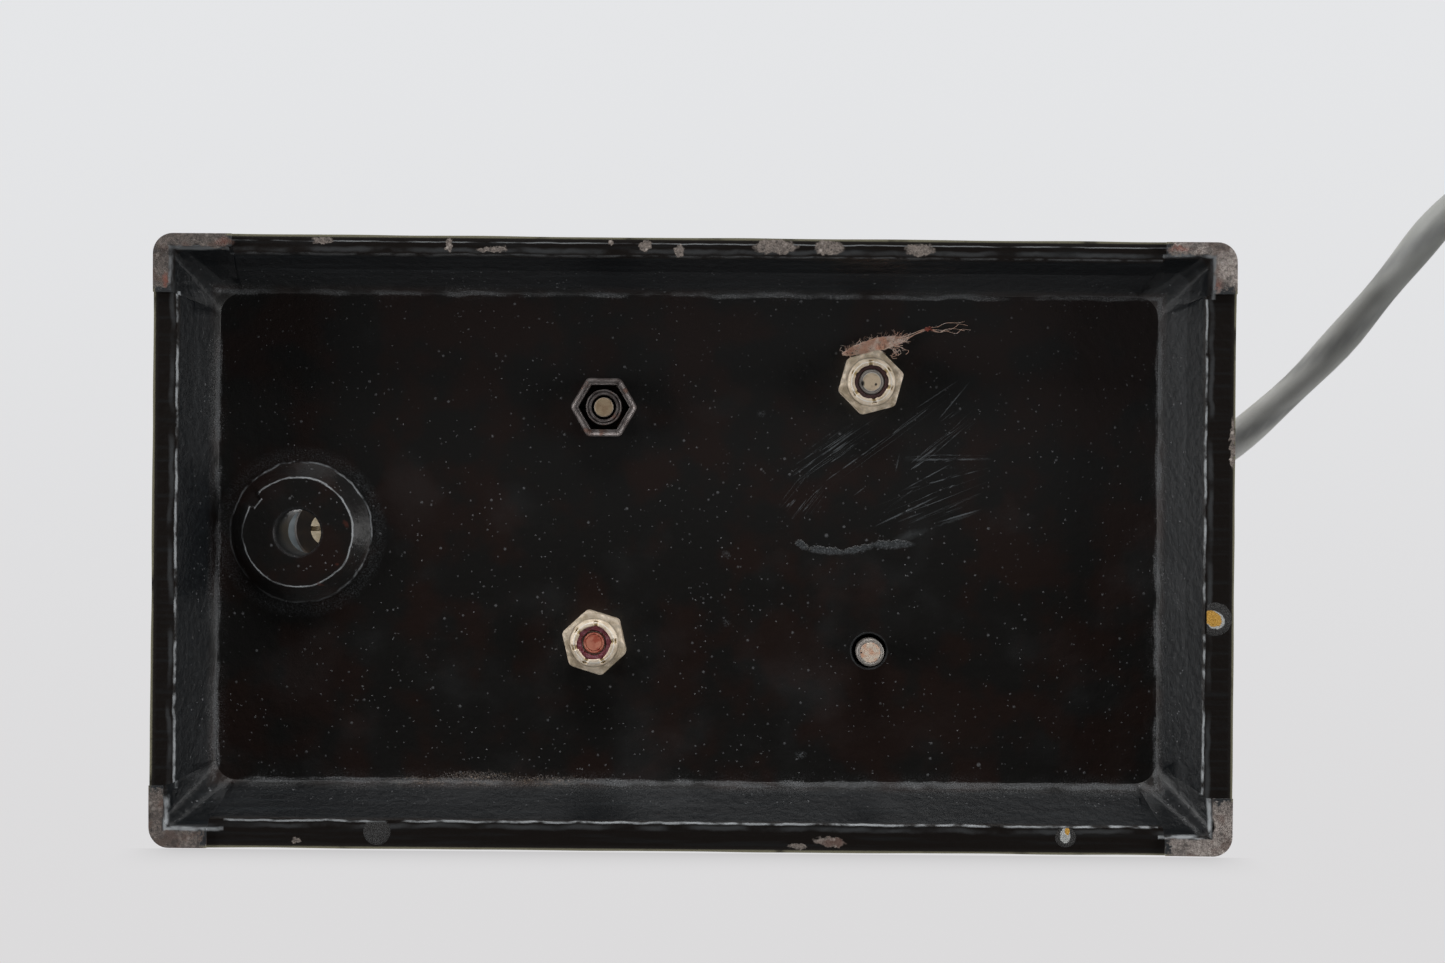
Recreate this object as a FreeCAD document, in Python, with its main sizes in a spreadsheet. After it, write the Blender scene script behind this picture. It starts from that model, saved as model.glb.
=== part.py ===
"""Bench galvanometer on a cast-iron base: moving-coil movement in a glazed drum, clamp, terminals, dial
lamp and supply cable. Millimetres, +Z up; the origin is the middle of the base on the plane of its feet."""

import FreeCAD, Part
import math
import os
import re
import Sketcher

# ---------------------------------------------------------------- driving dimensions

SIZES = """
base_long 203        | base casting, along X
base_wide 115        | base casting, along Y
base_corner 3.7      | radius of its upright corners
base_draft 1.2       | how far an outer wall leans in up to the deck
under_high 16        | feet to the underside of the deck
deck_thick 5         | thickness of the deck
rim_wide 4.9         | rim on the front and both ends
rim_narrow 2.9       | rim along the back
wall_lean 6.6        | how far an inner wall leans in up to the deck
foot_proud 1         | how far the corner feet stand proud of the rim
foot_reach_x 13      | arm of a foot along X
foot_reach_y 11      | arm of a foot along Y
boss_inset 26        | axis of the bored boss, from the right end of the base
boss_y 1.5           | axis of the bored boss
boss_bore 4.4        | radius of its bore
boss_face 10.5       | radius of its end faces
boss_root 13.4       | radius where it meets the deck
boss_drop 5          | length below the deck
boss_rise 9.7        | length above the deck
stud_back_right_x 25.4   | stud at the back on the boss side, from the drum's axis
stud_back_right_y 21.5   |
stud_front_right_x 26.8  | stud at the front on the boss side
stud_front_right_y -23.4 |
stud_back_left_x -25.6   | stud at the back on the cable side
stud_back_left_y 26.7    |
stud_front_left_x -25.8  | stud at the front on the cable side, which has lost its nut
stud_front_left_y -24.8  |
stud_seat 5              | length of a stud in the bedplate
stud_wide 3.175      | radius of a quarter-inch stud
stud_room 0.085      | clearance of a stud in the deck
stud_end 6.5         | how far a stud stands out under the deck
stud_bevel 0.55      | chamfer of a stud's end
nut_flats 11.1       | width of a nut over its flats
nut_high 5.2         | hexagon of a stiff nut
collar_rim 1             | wall of a stiff nut's collar round the fibre
collar_taper 0.5         | how far the collar is closed in at its end
collar_high 1.5      | height of that collar
insert_high 1.2      | fibre insert inside the collar
insert_wall 0.525        | the fibre round the stud
insert_sink 0.2      | how far it sits inside the collar's end
shell_wall 0.9       | sheet of the pressed nut
shell_high 4.2       | height of the pressed nut
sleeve_wall 0.725        | wall of the sleeve round its thread
braid_long 10        | frayed stub of earthing braid beside the back left stud
braid_wide 4         |
braid_thick 1.6      |
braid_tail 12        | its longest loose strand
braid_gap 0.3            | nut to braid
strand_wide 1.4          |
strand_thin 0.4          | the strand is this much thinner than the braid
strand_aside 1           | it leaves the braid off its middle
strand_lap 0.5           | it starts this far inside the braid
plug_wide 3.2        | radius of a rim filler plug
plug_deep 2.5        | depth of a rim filler plug
filler_right_end 42.2    | filler plug at the front, from the right end of the base
filler_right_in 3.9      | and from the front
filler_left_end 31.7     | filler plug at the front, from the left end
filler_left_in 3         | and from the front
filler_side_in 4.3       | filler plug on the left rim, from the left end
filler_side_y -13.7      |
bed_inset_left 27.5  | bedplate, from the left end of the base
bed_inset_front 12.6 | from its front
bed_inset_back 3.9   | from its back
bed_room 4.1         | gap to the foot of the boss
bed_thick 6          | bedplate
bed_corner 9         | its corner radius
bed_edge 1.2         | chamfer round its top
drum_x -8            | axis of the drum
drum_y 4.4           |
drum_wide 44         | outer radius of the drum
drum_wall 2          | its wall
drum_high 51         | its height over the bedplate
flange_rim 4.4       | its foot flange stands out this far
flange_thick 2.5     | thickness of that flange
flange_screw 1.5     | radius of a flange screw's shank
screw_sink 4         | its length in the bedplate
screw_head 0.5       | its head is this much wider than its shank
screw_head_high 1.3      |
screw_head_round 0.4     | rounding of its head
screw_out 0.1            | the screws stand this far outside the middle of the flange
ledge_wide 1.6       | ledge that carries the glass
ledge_thick 1.5      |
glass_thick 2        | dial glass
glass_room 0.1           | clearance of the glass in the drum
gasket_thick 0.6     | ring under the glass
bezel_room 0.15      | clearance of the bezel on the drum
bezel_wall 2.2       | skirt of the bezel
bezel_skirt 7        | how far the skirt comes down the drum
bezel_lip 4.6        | width of the bezel's lip over the glass
bezel_top 3          | thickness of the lip
bezel_edge 1.2           | chamfer round its top
bezel_slope 1.4          | bevel inside the lip
bezel_brim 0.8           | thickness that the bevel leaves
pivot_back 16        | pivot of the movement, in front of the drum's axis
magnet_rise 14       | bedplate to the lowest lamination
lamination 6         | one lamination of the magnet
lamination_count 3       |
magnet_outer 28.5    | outer radius of the horseshoe's bend
magnet_inner 16.5    | inner radius, which is half the gap between its legs
magnet_bend 14       | centre of the bend, behind the pivot
magnet_leg 13        | the legs end this far in front of the pivot
pillar_wide 3        | radius of a magnet pillar
pole_deep 12         | half the depth of a pole piece
pole_slot 5.8        | half the slot between the pole pieces
pole_inset 1         | the pole pieces are this much lower than the magnet at top and bottom
core_wide 9          | radius of the soft-iron core
core_drill 0.5           | its hole is this much wider than the staff
pole_gap 0.8             | winding to the pole pieces' bore
support_thick 2      | brass that holds the core
support_inset 3          | the support stops this far from the core's ends
support_stem 5           | width of its stem
support_end 1            | its bar stops this far inside the magnet
support_lap 2            | its stem starts this far inside the core's radius
former_wall 0.7      | its strip
former_gap 0.5           | core to former
former_lip 0.5           | the former stands this far out beside the winding
coil_wall 0.6        | thickness of the winding on it
coil_deep 5          | width of the winding
coil_room 0.8        | clearance over and under the core
staff_wide 0.6       | radius of a pivot staff
staff_room 0.05      | clearance of a pivot in its jewel
staff_end 0.3            | end of a staff to the bottom of its hole
jewel_wide 1.8       | radius of a jewel screw
jewel_proud 0.8          | it stands this far out of its bridge at each end
jewel_deep 1             | depth of its hole
bridge_deep 6        | width of a bridge
bridge_thick 2.6     | thickness of a bridge
bridge_leg 3         | thickness of its legs
dial_room 1          | dial plate to the drum's wall
dial_thick 1.2       | its thickness
dial_gap 1.2         | magnet to dial plate
movement_room 0.8        | bridge legs to the opening in the dial plate
dial_slot 3.2        | half the slot for the clamp leaf
dial_post 2.2        | radius of a dial pillar
dial_post_in 1           | dial pillar to the dial plate's edge
pointer_gap 0.9      | dial plate to pointer
pointer_thick 0.6    |
pointer_reach 44     | pivot to tip
pointer_tail 9       | pivot to the end of the tail
pointer_wide 1.1     | width of the blade
pointer_neck 11          | the spade starts this far from the tip
pointer_spade 8.5        | its widest place, from the tip
pointer_point 5          | the fine point starts this far from the tip
spade_half 1.9           | half its greatest width
point_half 0.12          | half the width of the point
pointer_hub 2            | radius of the hub
pointer_cross 0.8        | width of the cross arms
pointer_arm 7.5      | length of each cross arm
weight_wide 1.2      | radius of a balance weight
weight_proud 0.4         | a weight stands this far over and under its arm
weight_past 0.1          | and past its end
spring_out 5         | outer radius of a hairspring
spring_strip 0.25    | its strip
spring_high 0.5      | width of that strip
spring_turns 4           |
spring_eye 0.25          | staff to the innermost turn
spring_gap 0.7           | pointer to the upper spring
spring_stud 0.9      | stud that holds its outer end
stud_gap 0.05            | that stud to the spring
anchor_sink 0.5          | the lower stud's depth in its bridge
lower_spring_gap 2       | winding to the underside of the lower spring
under_gap 4              | winding to the lower bridge
zero_reach 8         | pivot to the zero knob's axis
zero_pin 1.5         | throw of its pin
zero_pin_wide 0.45   | radius of the pin
zero_fork 0.65       | half the slot of the zero arm
zero_arm_thick 0.8   |
zero_gap 0.2             | upper spring to the zero arm
bridge_gap 0.4           | zero arm to the upper bridge
zero_rim 1.6             | ring of the zero arm round the jewel screw
zero_bar_wide 3.6        |
zero_end 1.5             | end of the arm past the pin's throw
zero_slot_long 2.6       |
zero_slot_in 0.3         | middle of the slot, inside the pin's throw
zero_knob_wide 5     | radius of the zero knob
zero_knob_high 4.5   |
zero_knob_edge 0.8       |
zero_nick 1              | screwdriver slot
zero_under 1             | the stem ends this far under the glass
zero_pin_past 0.3        | the pin ends this far under the arm
zero_stem_wide 2     | radius of its stem through the glass
clamp_high 27        | clamp shaft over the bedplate
clamp_shaft 2        | its radius
clamp_bush_wide 4    | radius of the bush that it turns in
clamp_bush_lip 1         |
clamp_bush_end 1.6       | outer face of the lip, from the drum
clamp_throw 0.65     | throw of its eccentric
clamp_cam 5.95       | radius of the eccentric
clamp_cam_long 3         |
clamp_room 0.3       | eccentric to the leaf
clamp_leaf_thick 0.8 |
leaf_wide 4              |
leaf_back 2.6            | the leaf reaches this far past the pointer's tail
leaf_front 1.4           | its other end, from the drum's wall
clamp_knob_wide 6.2  | radius of the clamp knob
clamp_knob_long 7    |
clamp_knob_off 2         | drum to knob
clamp_knob_edge 1        |
clamp_mark_wide 1        | index mark on the knob's face
clamp_mark_deep 1.25     |
clamp_mark_long 5        |
clamp_mark_up 1          | from the knob's axis
clamp_reach 8        | its shaft goes this far into the drum
turn_room 0.05       | radial clearance of a turning shaft
thread_room 0.15         | radial play of a nut or washer on its stem
post_room 8.6        | gap between the drum's flange and a terminal's bush
post_angle 36.5      | degrees of a terminal forward of the drum's side
post_sink 3          | depth of its stem in the bedplate
post_bush_wide 7.6   | radius of its insulating bush
post_bush_high 4     |
post_bush_edge 1         |
post_stem_wide 2.5   | radius of its stem
post_stem_high 24    | stem over the bedplate
post_bevel 0.6           |
washer_wide 5.6      |
washer_thick 1       |
nut_knurl_wide 7     | radius of the knurled nut
nut_foot_wide 5.4    | radius of its foot
nut_knurl_high 11    |
nut_foot_high 2          |
nut_edge 1               |
nut_knurl_count 24   | grooves of the knurl
knurl_deep 0.6           | depth of a groove
knurl_past 0.3           | its cutter reaches this far past the nut
knurl_half 0.75          | half the cutter's width there
seat_gap 0.2         | between a loosened nut and its washer
cradle_low 39        | underside of the lamp cradle, over the deck
cradle_wide 15       | radius of the cradle
cradle_floor 2.5     |
cradle_wall 2        |
cradle_high 8        |
cradle_edge 1            |
house_gap 0.3            | cradle's floor to the lamp house
socket_wide 5.5      | radius of the cradle's socket for the arm
socket_long 8        |
socket_lap 1.5           | the socket runs this far into the cup
arm_lap 1                | and the arm's tip this far
arm_wide 3.5         | radius of the lamp arm
arm_wall 1               |
arm_in 1                 | the arm's end inside the drum's wall
arm_flange_wide 6.4  | radius of its flange on the drum
arm_flange_thick 2.5 |
arm_flange_gap 0.25      | the flange's packing on the round drum
arm_screw 0.8            | radius of a screw in the flange
arm_screw_head 1.3       |
arm_screw_head_high 0.9  |
holder_flange 6.95   | radius of the lampholder bush under the cradle
holder_flange_high 2 |
holder_body 5        | its body in the cradle
holder_high 12       | body over the cradle's floor
holder_edge 0.5          |
contact_wide 3.5     | radius of the contact screw
contact_proud 0.15   |
contact_slot_wide 1      |
contact_slot_deep 0.8    |
house_room 0.1       | clearance of the lamp house in the cradle
house_wall 1         |
house_high 45        |
window_high 31.5     | axis of the lens tube, over the foot of the lamp house
tube_tilt 20         | degrees that the lens tube points down
tube_wide 7          | radius of the lens tube
tube_wall 0.8        |
tube_start 13        | inner end of the tube, from the lamp's axis
lens_in 5                | back of the lens, from the tube's outer end
lens_thick 2.4           |
lens_edge 0.9            |
tube_room 8          | its outer end to the bezel, along X
collar_wall 1.6      | guide collar round the tube
collar_end 22        | its outer end, from the lamp's axis
vent_wide 2.4        | vents in the lamp house
vent_high 4.5        |
vent_down 4.5        | its top to the upper ring of vents
vent_up 2                | the lower ring, over the cradle's rim
cap_skirt 4          |
cap_dome 5.5         |
cap_wall 2.1             | skirt of the cap
cap_room 0.05            | its clearance on the lamp house
cap_edge 1               | its straight side over the skirt
cap_slope 3.5            | its shoulder slopes in by this much
cap_crown 5              | radius where the finial's foot begins
finial_foot 2            | radius of that foot at its top
finial_foot_high 0.4     |
finial_neck 1.8          |
finial_neck_high 3       |
finial_bead 3.4          | radius of the bead
finial_bead_low 4.6      |
finial_bead_high 6       |
finial_high 7.4          |
bulb_wide 5.2        | radius of the bulb's glass
bulb_cap 3.6         | radius of the bulb's screw cap
bulb_cap_high 9      |
bulb_out 1               | its screw cap stands this far out of the bush
bulb_room 0.1            | clearance of the cap
bulb_neck 0.3            | the neck is this much narrower than the cap
bulb_lap 0.5             | neck inside the cap
bulb_dip 1.4             | globe over the cap
key_shaft 1.5        | radius of the switch key's shaft
key_gap 0.3              | its inner end to the cradle's inside
key_long 12.6         |
key_boss_wide 4      | radius of the boss that the shaft turns in
key_boss_long 5      |
key_wing_long 5.5    |
key_wing_wide 11     |
key_wing_thick 2.2       |
gland_y 7            | axis of the cable
gland_high 13        | its height over the bedplate
gland_wide 6.6       | radius of the gland
gland_gap 0.3            | its shoulder to the drum
spigot_wide 5        | radius of its spigot in the drum
spigot_long 6        |
gland_long 6         |
gland_nut_wide 6     |
gland_nut_long 6     |
relief_long 11.3     | strain-relief sleeve
relief_wide 5.2      | its radius at the gland
relief_tip 4.1       | its radius at the end
cable_wide 3.25      | radius of the cable
coil_x -193          | axis of the stored coil of cable
coil_y 48            |
coil_middle 36       | radius of its middle turn
coil_across 19.5     | width of the bundle of turns
coil_tall 19         | height of the bundle
coil_edge 1.5            | rounding of the bundle at its foot
coil_shoulder 5          | how much narrower it is at its top
tail_in 39.25        | radius at which the cable's last turn leaves the coil
tail_long 37         | from there to the plug
plug_body_long 33    | two-pin plug
plug_body_wide 25    |
plug_body_tall 17    |
plug_round 3         | rounding of its body
plug_pin_wide 2.4    | radius of a pin
plug_pin_long 16     |
plug_pin_apart 16    |
tie_wide 9           | strap round the coil
tie_thick 0.8        |
tie_room 0.5         | strap to the turns inside it
"""

# Points of the cable's centreline from the strain relief to the coil: the corners between its runs.
CABLE_RUN = [
    (-87.2, 8.6, 40.0),
    (-98.1, 13.7, 38.6),
    (-107.3, 21.4, 35.6),
    (-123.0, 37.8, 28.4),
    (-135.4, 52.2, 17.2),
    (-143.4, 61.6, 9.0),
    (-152.6, 70.6, 4.4),
    (-163.6, 77.8, 3.25),
]

doc = FreeCAD.newDocument("Galvanometer")
dim = doc.addObject("Spreadsheet::Sheet", "Dim")
ALIASES = []
for row, line in enumerate(SIZES.strip().splitlines(), start=1):
    entry, note = line.split("|")
    alias, amount = entry.split()
    dim.set(f"A{row}", alias)
    dim.set(f"B{row}", amount)
    dim.set(f"C{row}", note.strip())
    dim.setAlias(f"B{row}", alias)
    ALIASES.append(alias)
doc.recompute()

WORD = re.compile(r"[A-Za-z_]\w*")
nodes = {}


def cell(formula):
    """A formula in named sizes and places, as an expression of the document."""

    def spelled_out(match):
        word = match[0]
        if word in ALIASES:
            return "Dim." + word
        return f"({cell(PLACE_OF[word])})" if word in PLACE_OF else word

    return WORD.sub(spelled_out, formula)


def number(formula):
    """The value that such a formula has now."""
    return float(dim.evalExpression(cell(formula)))


# ---------------------------------------------------------------- places worked out from those sizes

PLACES = """
boss_x            base_long / 2 - boss_inset
deck_low          under_high
deck_top          deck_low + deck_thick
insert_wide       stud_wide + insert_wall
collar_wide       insert_wide + collar_rim
sleeve_wide       stud_wide + sleeve_wall
nut_low           deck_low - nut_high
collar_low        nut_low - collar_high
shell_low         deck_low - shell_high
bed_top           deck_top + bed_thick
bed_left          -base_long / 2 + bed_inset_left
bed_right         boss_x - boss_root - bed_room
bed_front         -base_wide / 2 + bed_inset_front
bed_back          base_wide / 2 - bed_inset_back
drum_inner        drum_wide - drum_wall
flange_wide       drum_wide + flange_rim
glass_low         bed_top + drum_high - glass_thick
bezel_inner       drum_wide + bezel_room
bezel_wide        bezel_inner + bezel_wall
pivot_x           drum_x
pivot_y           drum_y - pivot_back
magnet_low        bed_top + magnet_rise
magnet_top        magnet_low + lamination_count * lamination
pole_low          magnet_low + pole_inset
pole_top          magnet_top - pole_inset
former_inner      core_wide + former_gap
former_outer      former_inner + former_wall
winding_outer     former_outer + coil_wall
pole_bore         winding_outer + pole_gap
bridge_out        pole_bore
former_low        pole_low - coil_room - former_wall
former_top        pole_top + coil_room + former_wall
winding_low       former_low - coil_wall
winding_top       former_top + coil_wall
dial_wide         drum_inner - dial_room
dial_hole         bridge_out + bridge_leg + movement_room
dial_low          magnet_top + dial_gap
dial_top          dial_low + dial_thick
pointer_low       dial_top + pointer_gap
pointer_top       pointer_low + pointer_thick
spring_low        pointer_top + spring_gap
spring_top        spring_low + spring_high
spring_stud_off   spring_out + spring_stud / 2 + stud_gap
zero_low          spring_top + zero_gap
zero_top          zero_low + zero_arm_thick
bridge_low        zero_top + bridge_gap
bridge_top        bridge_low + bridge_thick
staff_top         bridge_low - jewel_proud + jewel_deep - staff_end
lower_spring      winding_low - lower_spring_gap
under_bridge_top  winding_low - under_gap
under_bridge_low  under_bridge_top - bridge_thick
staff_bottom      under_bridge_top + jewel_proud - jewel_deep + staff_end
clamp_front       drum_y - drum_wide
clamp_z           bed_top + clamp_high
leaf_low          clamp_z + clamp_cam - clamp_throw + clamp_room
post_circle       flange_wide + post_room + post_bush_wide
post_off_x        post_circle * cos(post_angle)
post_y            drum_y - post_circle * sin(post_angle)
washer_low        bed_top + post_bush_high
cradle_base       deck_top + cradle_low
arm_z             cradle_base + cradle_high / 2
house_low         cradle_base + cradle_floor + house_gap
cradle_inner      cradle_wide - cradle_wall
house_wide        cradle_inner - house_room
cap_wide          house_wide + cap_wall
arm_root          drum_x + drum_wide
arm_start         arm_root - drum_wall - arm_in
arm_face          arm_root + arm_flange_gap
arm_tip           boss_x - cradle_wide + arm_lap
socket_mouth      boss_x - cradle_wide + socket_lap - socket_long
bulb_seat         holder_high - bulb_cap_high + bulb_out
key_start         boss_x + cradle_inner
window_z          house_low + window_high
tube_end          (boss_x - drum_x - bezel_wide - tube_room) / cos(tube_tilt)
gland_z           bed_top + gland_high
gland_face        drum_x - drum_wide - gland_gap
relief_end        gland_face - gland_long - gland_nut_long - relief_long
coil_inner        coil_middle - coil_across / 2
coil_outer        coil_middle + coil_across / 2
tie_inner         coil_across + 2 * tie_room
tail_x            coil_x - tail_in
tail_z            plug_body_tall / 2
"""
PLACE_OF = dict(line.split(None, 1) for line in PLACES.strip().splitlines())
STUDS = ["back_right", "front_right", "back_left", "front_left"]
SCREWS = 4
VENTS = 8
SPRING_STEPS = 24
VOLUME_SLACK = 0.01
DIAL_POST_ANGLES = (20, 90, 160)
ARM_SCREW_ANGLES = (0, 120, 240)
FACING = {
    "+Z": FreeCAD.Rotation(),
    "+X": FreeCAD.Rotation(FreeCAD.Vector(0, 1, 0), 90),
    "-X": FreeCAD.Rotation(FreeCAD.Vector(0, 1, 0), -90),
    "-Y": FreeCAD.Rotation(FreeCAD.Vector(1, 0, 0), 90),
}

# ---------------------------------------------------------------- ways of making a piece


def bind(piece, **sizes):
    """Ties properties of an object to formulas on the sheet."""
    for name, formula in sizes.items():
        piece.setExpression(name, cell(formula))


def place(piece, x="0", y="0", z="0", facing="+Z"):
    """Puts an object at a place on the sheet, with its own Z axis facing one way."""
    turn = FACING[facing] if isinstance(facing, str) else facing
    piece.Placement = FreeCAD.Placement(FreeCAD.Vector(), turn)
    for axis, formula in (("x", x), ("y", y), ("z", z)):
        piece.setExpression(f"Placement.Base.{axis}", cell(formula))
    return piece


def node(label, piece):
    """Names a finished sub-part, which is written to a file of that name."""
    piece.Label = label
    nodes[label] = piece
    return piece


def cylinder(name, radius, height, x="0", y="0", z="0", facing="+Z"):
    piece = doc.addObject("Part::Cylinder", name)
    bind(piece, Radius=radius, Height=height)
    return place(piece, x, y, z, facing)


def cone(name, low, high, height, x="0", y="0", z="0", facing="+Z"):
    piece = doc.addObject("Part::Cone", name)
    bind(piece, Radius1=low, Radius2=high, Height=height)
    return place(piece, x, y, z, facing)


def block(name, length, width, height, x="0", y="0", z="0"):
    """A box whose middle, in X and Y, is at x and y, standing on z."""
    piece = doc.addObject("Part::Box", name)
    bind(piece, Length=length, Width=width, Height=height)
    return place(piece, f"({x}) - ({length}) / 2", f"({y}) - ({width}) / 2", z)


def cut(name, base, tool):
    piece = doc.addObject("Part::Cut", name)
    piece.Base = base
    piece.Tool = tool
    return piece


def common(name, base, tool):
    piece = doc.addObject("Part::Common", name)
    piece.Base = base
    piece.Tool = tool
    return piece


def fuse(name, pieces):
    piece = doc.addObject("Part::MultiFuse", name)
    piece.Shapes = pieces
    piece.Refine = True
    return piece


def group(name, pieces):
    """Separate solids that share one node."""
    piece = doc.addObject("Part::Compound", name)
    piece.Links = pieces
    return piece


def outline(sketch, corners):
    """A closed polygon in a sketch, each corner pinned to formulas on the sheet."""
    points = [FreeCAD.Vector(number(u), number(v), 0) for u, v in corners]
    for here, there in zip(points, points[1:] + points[:1]):
        sketch.addGeometry(Part.LineSegment(here, there), False)
    for index in range(len(points)):
        following = (index + 1) % len(points)
        sketch.addConstraint(Sketcher.Constraint("Coincident", index, 2, following, 1))
    for index, (u, v) in enumerate(corners):
        for kind, formula, axis in (("DistanceX", u, -2), ("DistanceY", v, -1)):
            if formula == "0":
                sketch.addConstraint(Sketcher.Constraint("PointOnObject", index, 1, axis))
                continue
            pin = Sketcher.Constraint(kind, -1, 1, index, 1, number(formula))
            sketch.setExpression(f"Constraints[{sketch.addConstraint(pin)}]", cell(formula))


def sketch_in(body, plane, suffix):
    """An empty sketch on one of a body's own origin planes."""
    sketch = body.newObject("Sketcher::SketchObject", body.Name + suffix)
    support = [item for item in body.Origin.OriginFeatures if item.Role == plane][0]
    sketch.AttachmentSupport = [(support, "")]
    sketch.MapMode = "FlatFace"
    return sketch


def sketched(name, plane, corners):
    """A PartDesign body with one sketch on one of its origin planes."""
    body = doc.addObject("PartDesign::Body", name)
    sketch = sketch_in(body, plane, "_sketch")
    outline(sketch, corners)
    return body, sketch


def turned(name, profile, x="0", y="0", z="0", facing="+Z"):
    """A lathe-turned body: the profile's corners are (radius, height)."""
    body, sketch = sketched(name, "XZ_Plane", profile)
    turn = body.newObject("PartDesign::Revolution", name + "_turn")
    turn.Profile = (sketch, [""])
    turn.ReferenceAxis = (sketch, ["V_Axis"])
    turn.Angle = 360
    return place(body, x, y, z, facing)


def padded(name, corners, thickness, x="0", y="0", z="0", facing="+Z"):
    """A flat body cut to an outline."""
    body, sketch = sketched(name, "XY_Plane", corners)
    pad = body.newObject("PartDesign::Pad", name + "_pad")
    pad.Profile = (sketch, [""])
    bind(pad, Length=thickness)
    return place(body, x, y, z, facing)


def dress(body, kind, size, chosen):
    """A fillet or chamfer on those edges of a body that `chosen` accepts."""
    doc.recompute()
    tip = body.Tip
    edges = [f"Edge{i}" for i, edge in enumerate(tip.Shape.Edges, start=1) if chosen(edge)]
    if not edges:
        raise ValueError(f"{body.Name}: no edge to {kind.lower()}")
    feature = body.newObject("PartDesign::" + kind, f"{body.Name}_{kind.lower()}")
    feature.Base = (tip, edges)
    bind(feature, **{"Radius" if kind == "Fillet" else "Size": size})
    return body


def upright(edge):
    """Whether an edge climbs from one height to another, all the way."""
    ends = [vertex.Point.z for vertex in edge.Vertexes]
    return len(ends) == 2 and abs(ends[0] - ends[1]) > 0.7 * edge.Length


def level_at(height):
    """Accepts the edges that lie wholly at a height in the body's own frame."""
    z = number(height)
    return lambda edge: abs(edge.BoundBox.ZMin - z) < 1e-4 and abs(edge.BoundBox.ZMax - z) < 1e-4


def washer_ring(name, inner, outer, thickness, x, y, z):
    """A flat ring."""
    corners = [(inner, "0"), (outer, "0"), (outer, thickness), (inner, thickness)]
    return turned(name, corners, x, y, z)


def rectangle(half_x, half_y):
    return [
        (f"-({half_x})", f"-({half_y})"),
        (half_x, f"-({half_y})"),
        (half_x, half_y),
        (f"-({half_x})", half_y),
    ]


def tapered_block(name, left, right, front, back, height, lean):
    """A block on z = 0 between four sides, which lean in by `lean` up to its top."""
    body = doc.addObject("PartDesign::Body", name)
    wedge = body.newObject("PartDesign::AdditiveWedge", name + "_wedge")
    # A wedge narrows along its own Y, so it is turned to stand on its wide end: its Z becomes minus Y.
    wedge.Placement.Rotation = FACING["-Y"]
    bind(wedge, Xmin=left, Xmax=right, Zmin=f"-({back})", Zmax=f"-({front})", Ymin="0", Ymax=height)
    bind(wedge, X2min=f"{left} + {lean}", X2max=f"{right} - {lean}")
    bind(wedge, Z2min=f"-({back}) + {lean}", Z2max=f"-({front}) - {lean}")
    return body


def hexagon(name, flats, height, x, y, z, facing="+Z"):
    """A hexagonal prism, two of its flats facing plus and minus Y."""
    corner = f"({flats}) / sqrt(3)"
    half = f"({flats}) / (2 * sqrt(3))"
    side = f"({flats}) / 2"
    ring = [(corner, "0"), (half, side), (f"-{half}", side), (f"-{corner}", "0")]
    ring += [(f"-{half}", f"-({side})"), (half, f"-({side})")]
    return padded(name, ring, height, x, y, z, facing)


# ---------------------------------------------------------------- base casting and what is fixed under it


def stud_place(end):
    return f"drum_x + stud_{end}_x", f"drum_y + stud_{end}_y"


def base_casting():
    """A drafted block, hollowed from below, with proud corner feet and a boss bored right through."""
    half_x = "base_long / 2"
    half_y = "base_wide / 2"
    outer = tapered_block("base_block", f"-{half_x}", half_x, f"-{half_y}", half_y, "deck_top", "base_draft")
    dress(outer, "Fillet", "base_corner", upright)
    inside = f"{half_x} - rim_wide"
    hollow = tapered_block(
        "base_hollow",
        f"-({inside})",
        inside,
        f"-{half_y} + rim_wide",
        f"{half_y} - rim_narrow",
        "deck_low",
        "wall_lean",
    )
    gap_x = "base_long - 2 * foot_reach_x"
    gap_y = "base_wide - 2 * foot_reach_y"
    reliefs = [
        block("rim_relief_front", gap_x, "2 * rim_wide", "foot_proud", "0", "-base_wide / 2", "0"),
        block("rim_relief_back", gap_x, "2 * rim_wide", "foot_proud", "0", "base_wide / 2", "0"),
        block("rim_relief_left", "2 * rim_wide", gap_y, "foot_proud", "-base_long / 2", "0", "0"),
        block("rim_relief_right", "2 * rim_wide", gap_y, "foot_proud", "base_long / 2", "0", "0"),
    ]
    below = cone(
        "boss_below", "boss_face", "boss_root", "boss_drop", "boss_x", "boss_y", "deck_low - boss_drop"
    )
    above = cone("boss_above", "boss_root", "boss_face", "boss_rise", "boss_x", "boss_y", "deck_top")
    tray = cut("base_tray", outer, fuse("base_reliefs", [hollow] + reliefs))
    body = fuse("base_bossed", [tray, below, above])
    whole = "boss_drop + deck_thick + boss_rise"
    bore = cylinder("boss_hole", "boss_bore", whole, "boss_x", "boss_y", "deck_low - boss_drop")
    holes = [
        cylinder(f"stud_hole_{end}", "stud_wide + stud_room", "deck_thick", *stud_place(end), "deck_low")
        for end in STUDS
    ]
    drilled = cut("base_drilled", body, fuse("base_holes", [bore] + holes))
    spots = [
        (f"{half_x} - filler_right_end", f"-{half_y} + filler_right_in"),
        (f"-{half_x} + filler_left_end", f"-{half_y} + filler_left_in"),
        (f"-{half_x} + filler_side_in", "filler_side_y"),
    ]
    drills = [
        cylinder(f"filler_drill_{index}", "plug_wide", "foot_proud + plug_deep", *spot)
        for index, spot in enumerate(spots)
    ]
    drill = fuse("filler_drills", drills)
    node("rim_filler_plugs", common("rim_fillers", drilled, drill))
    node("base_casting", cut("base", drilled, drill))


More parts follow.
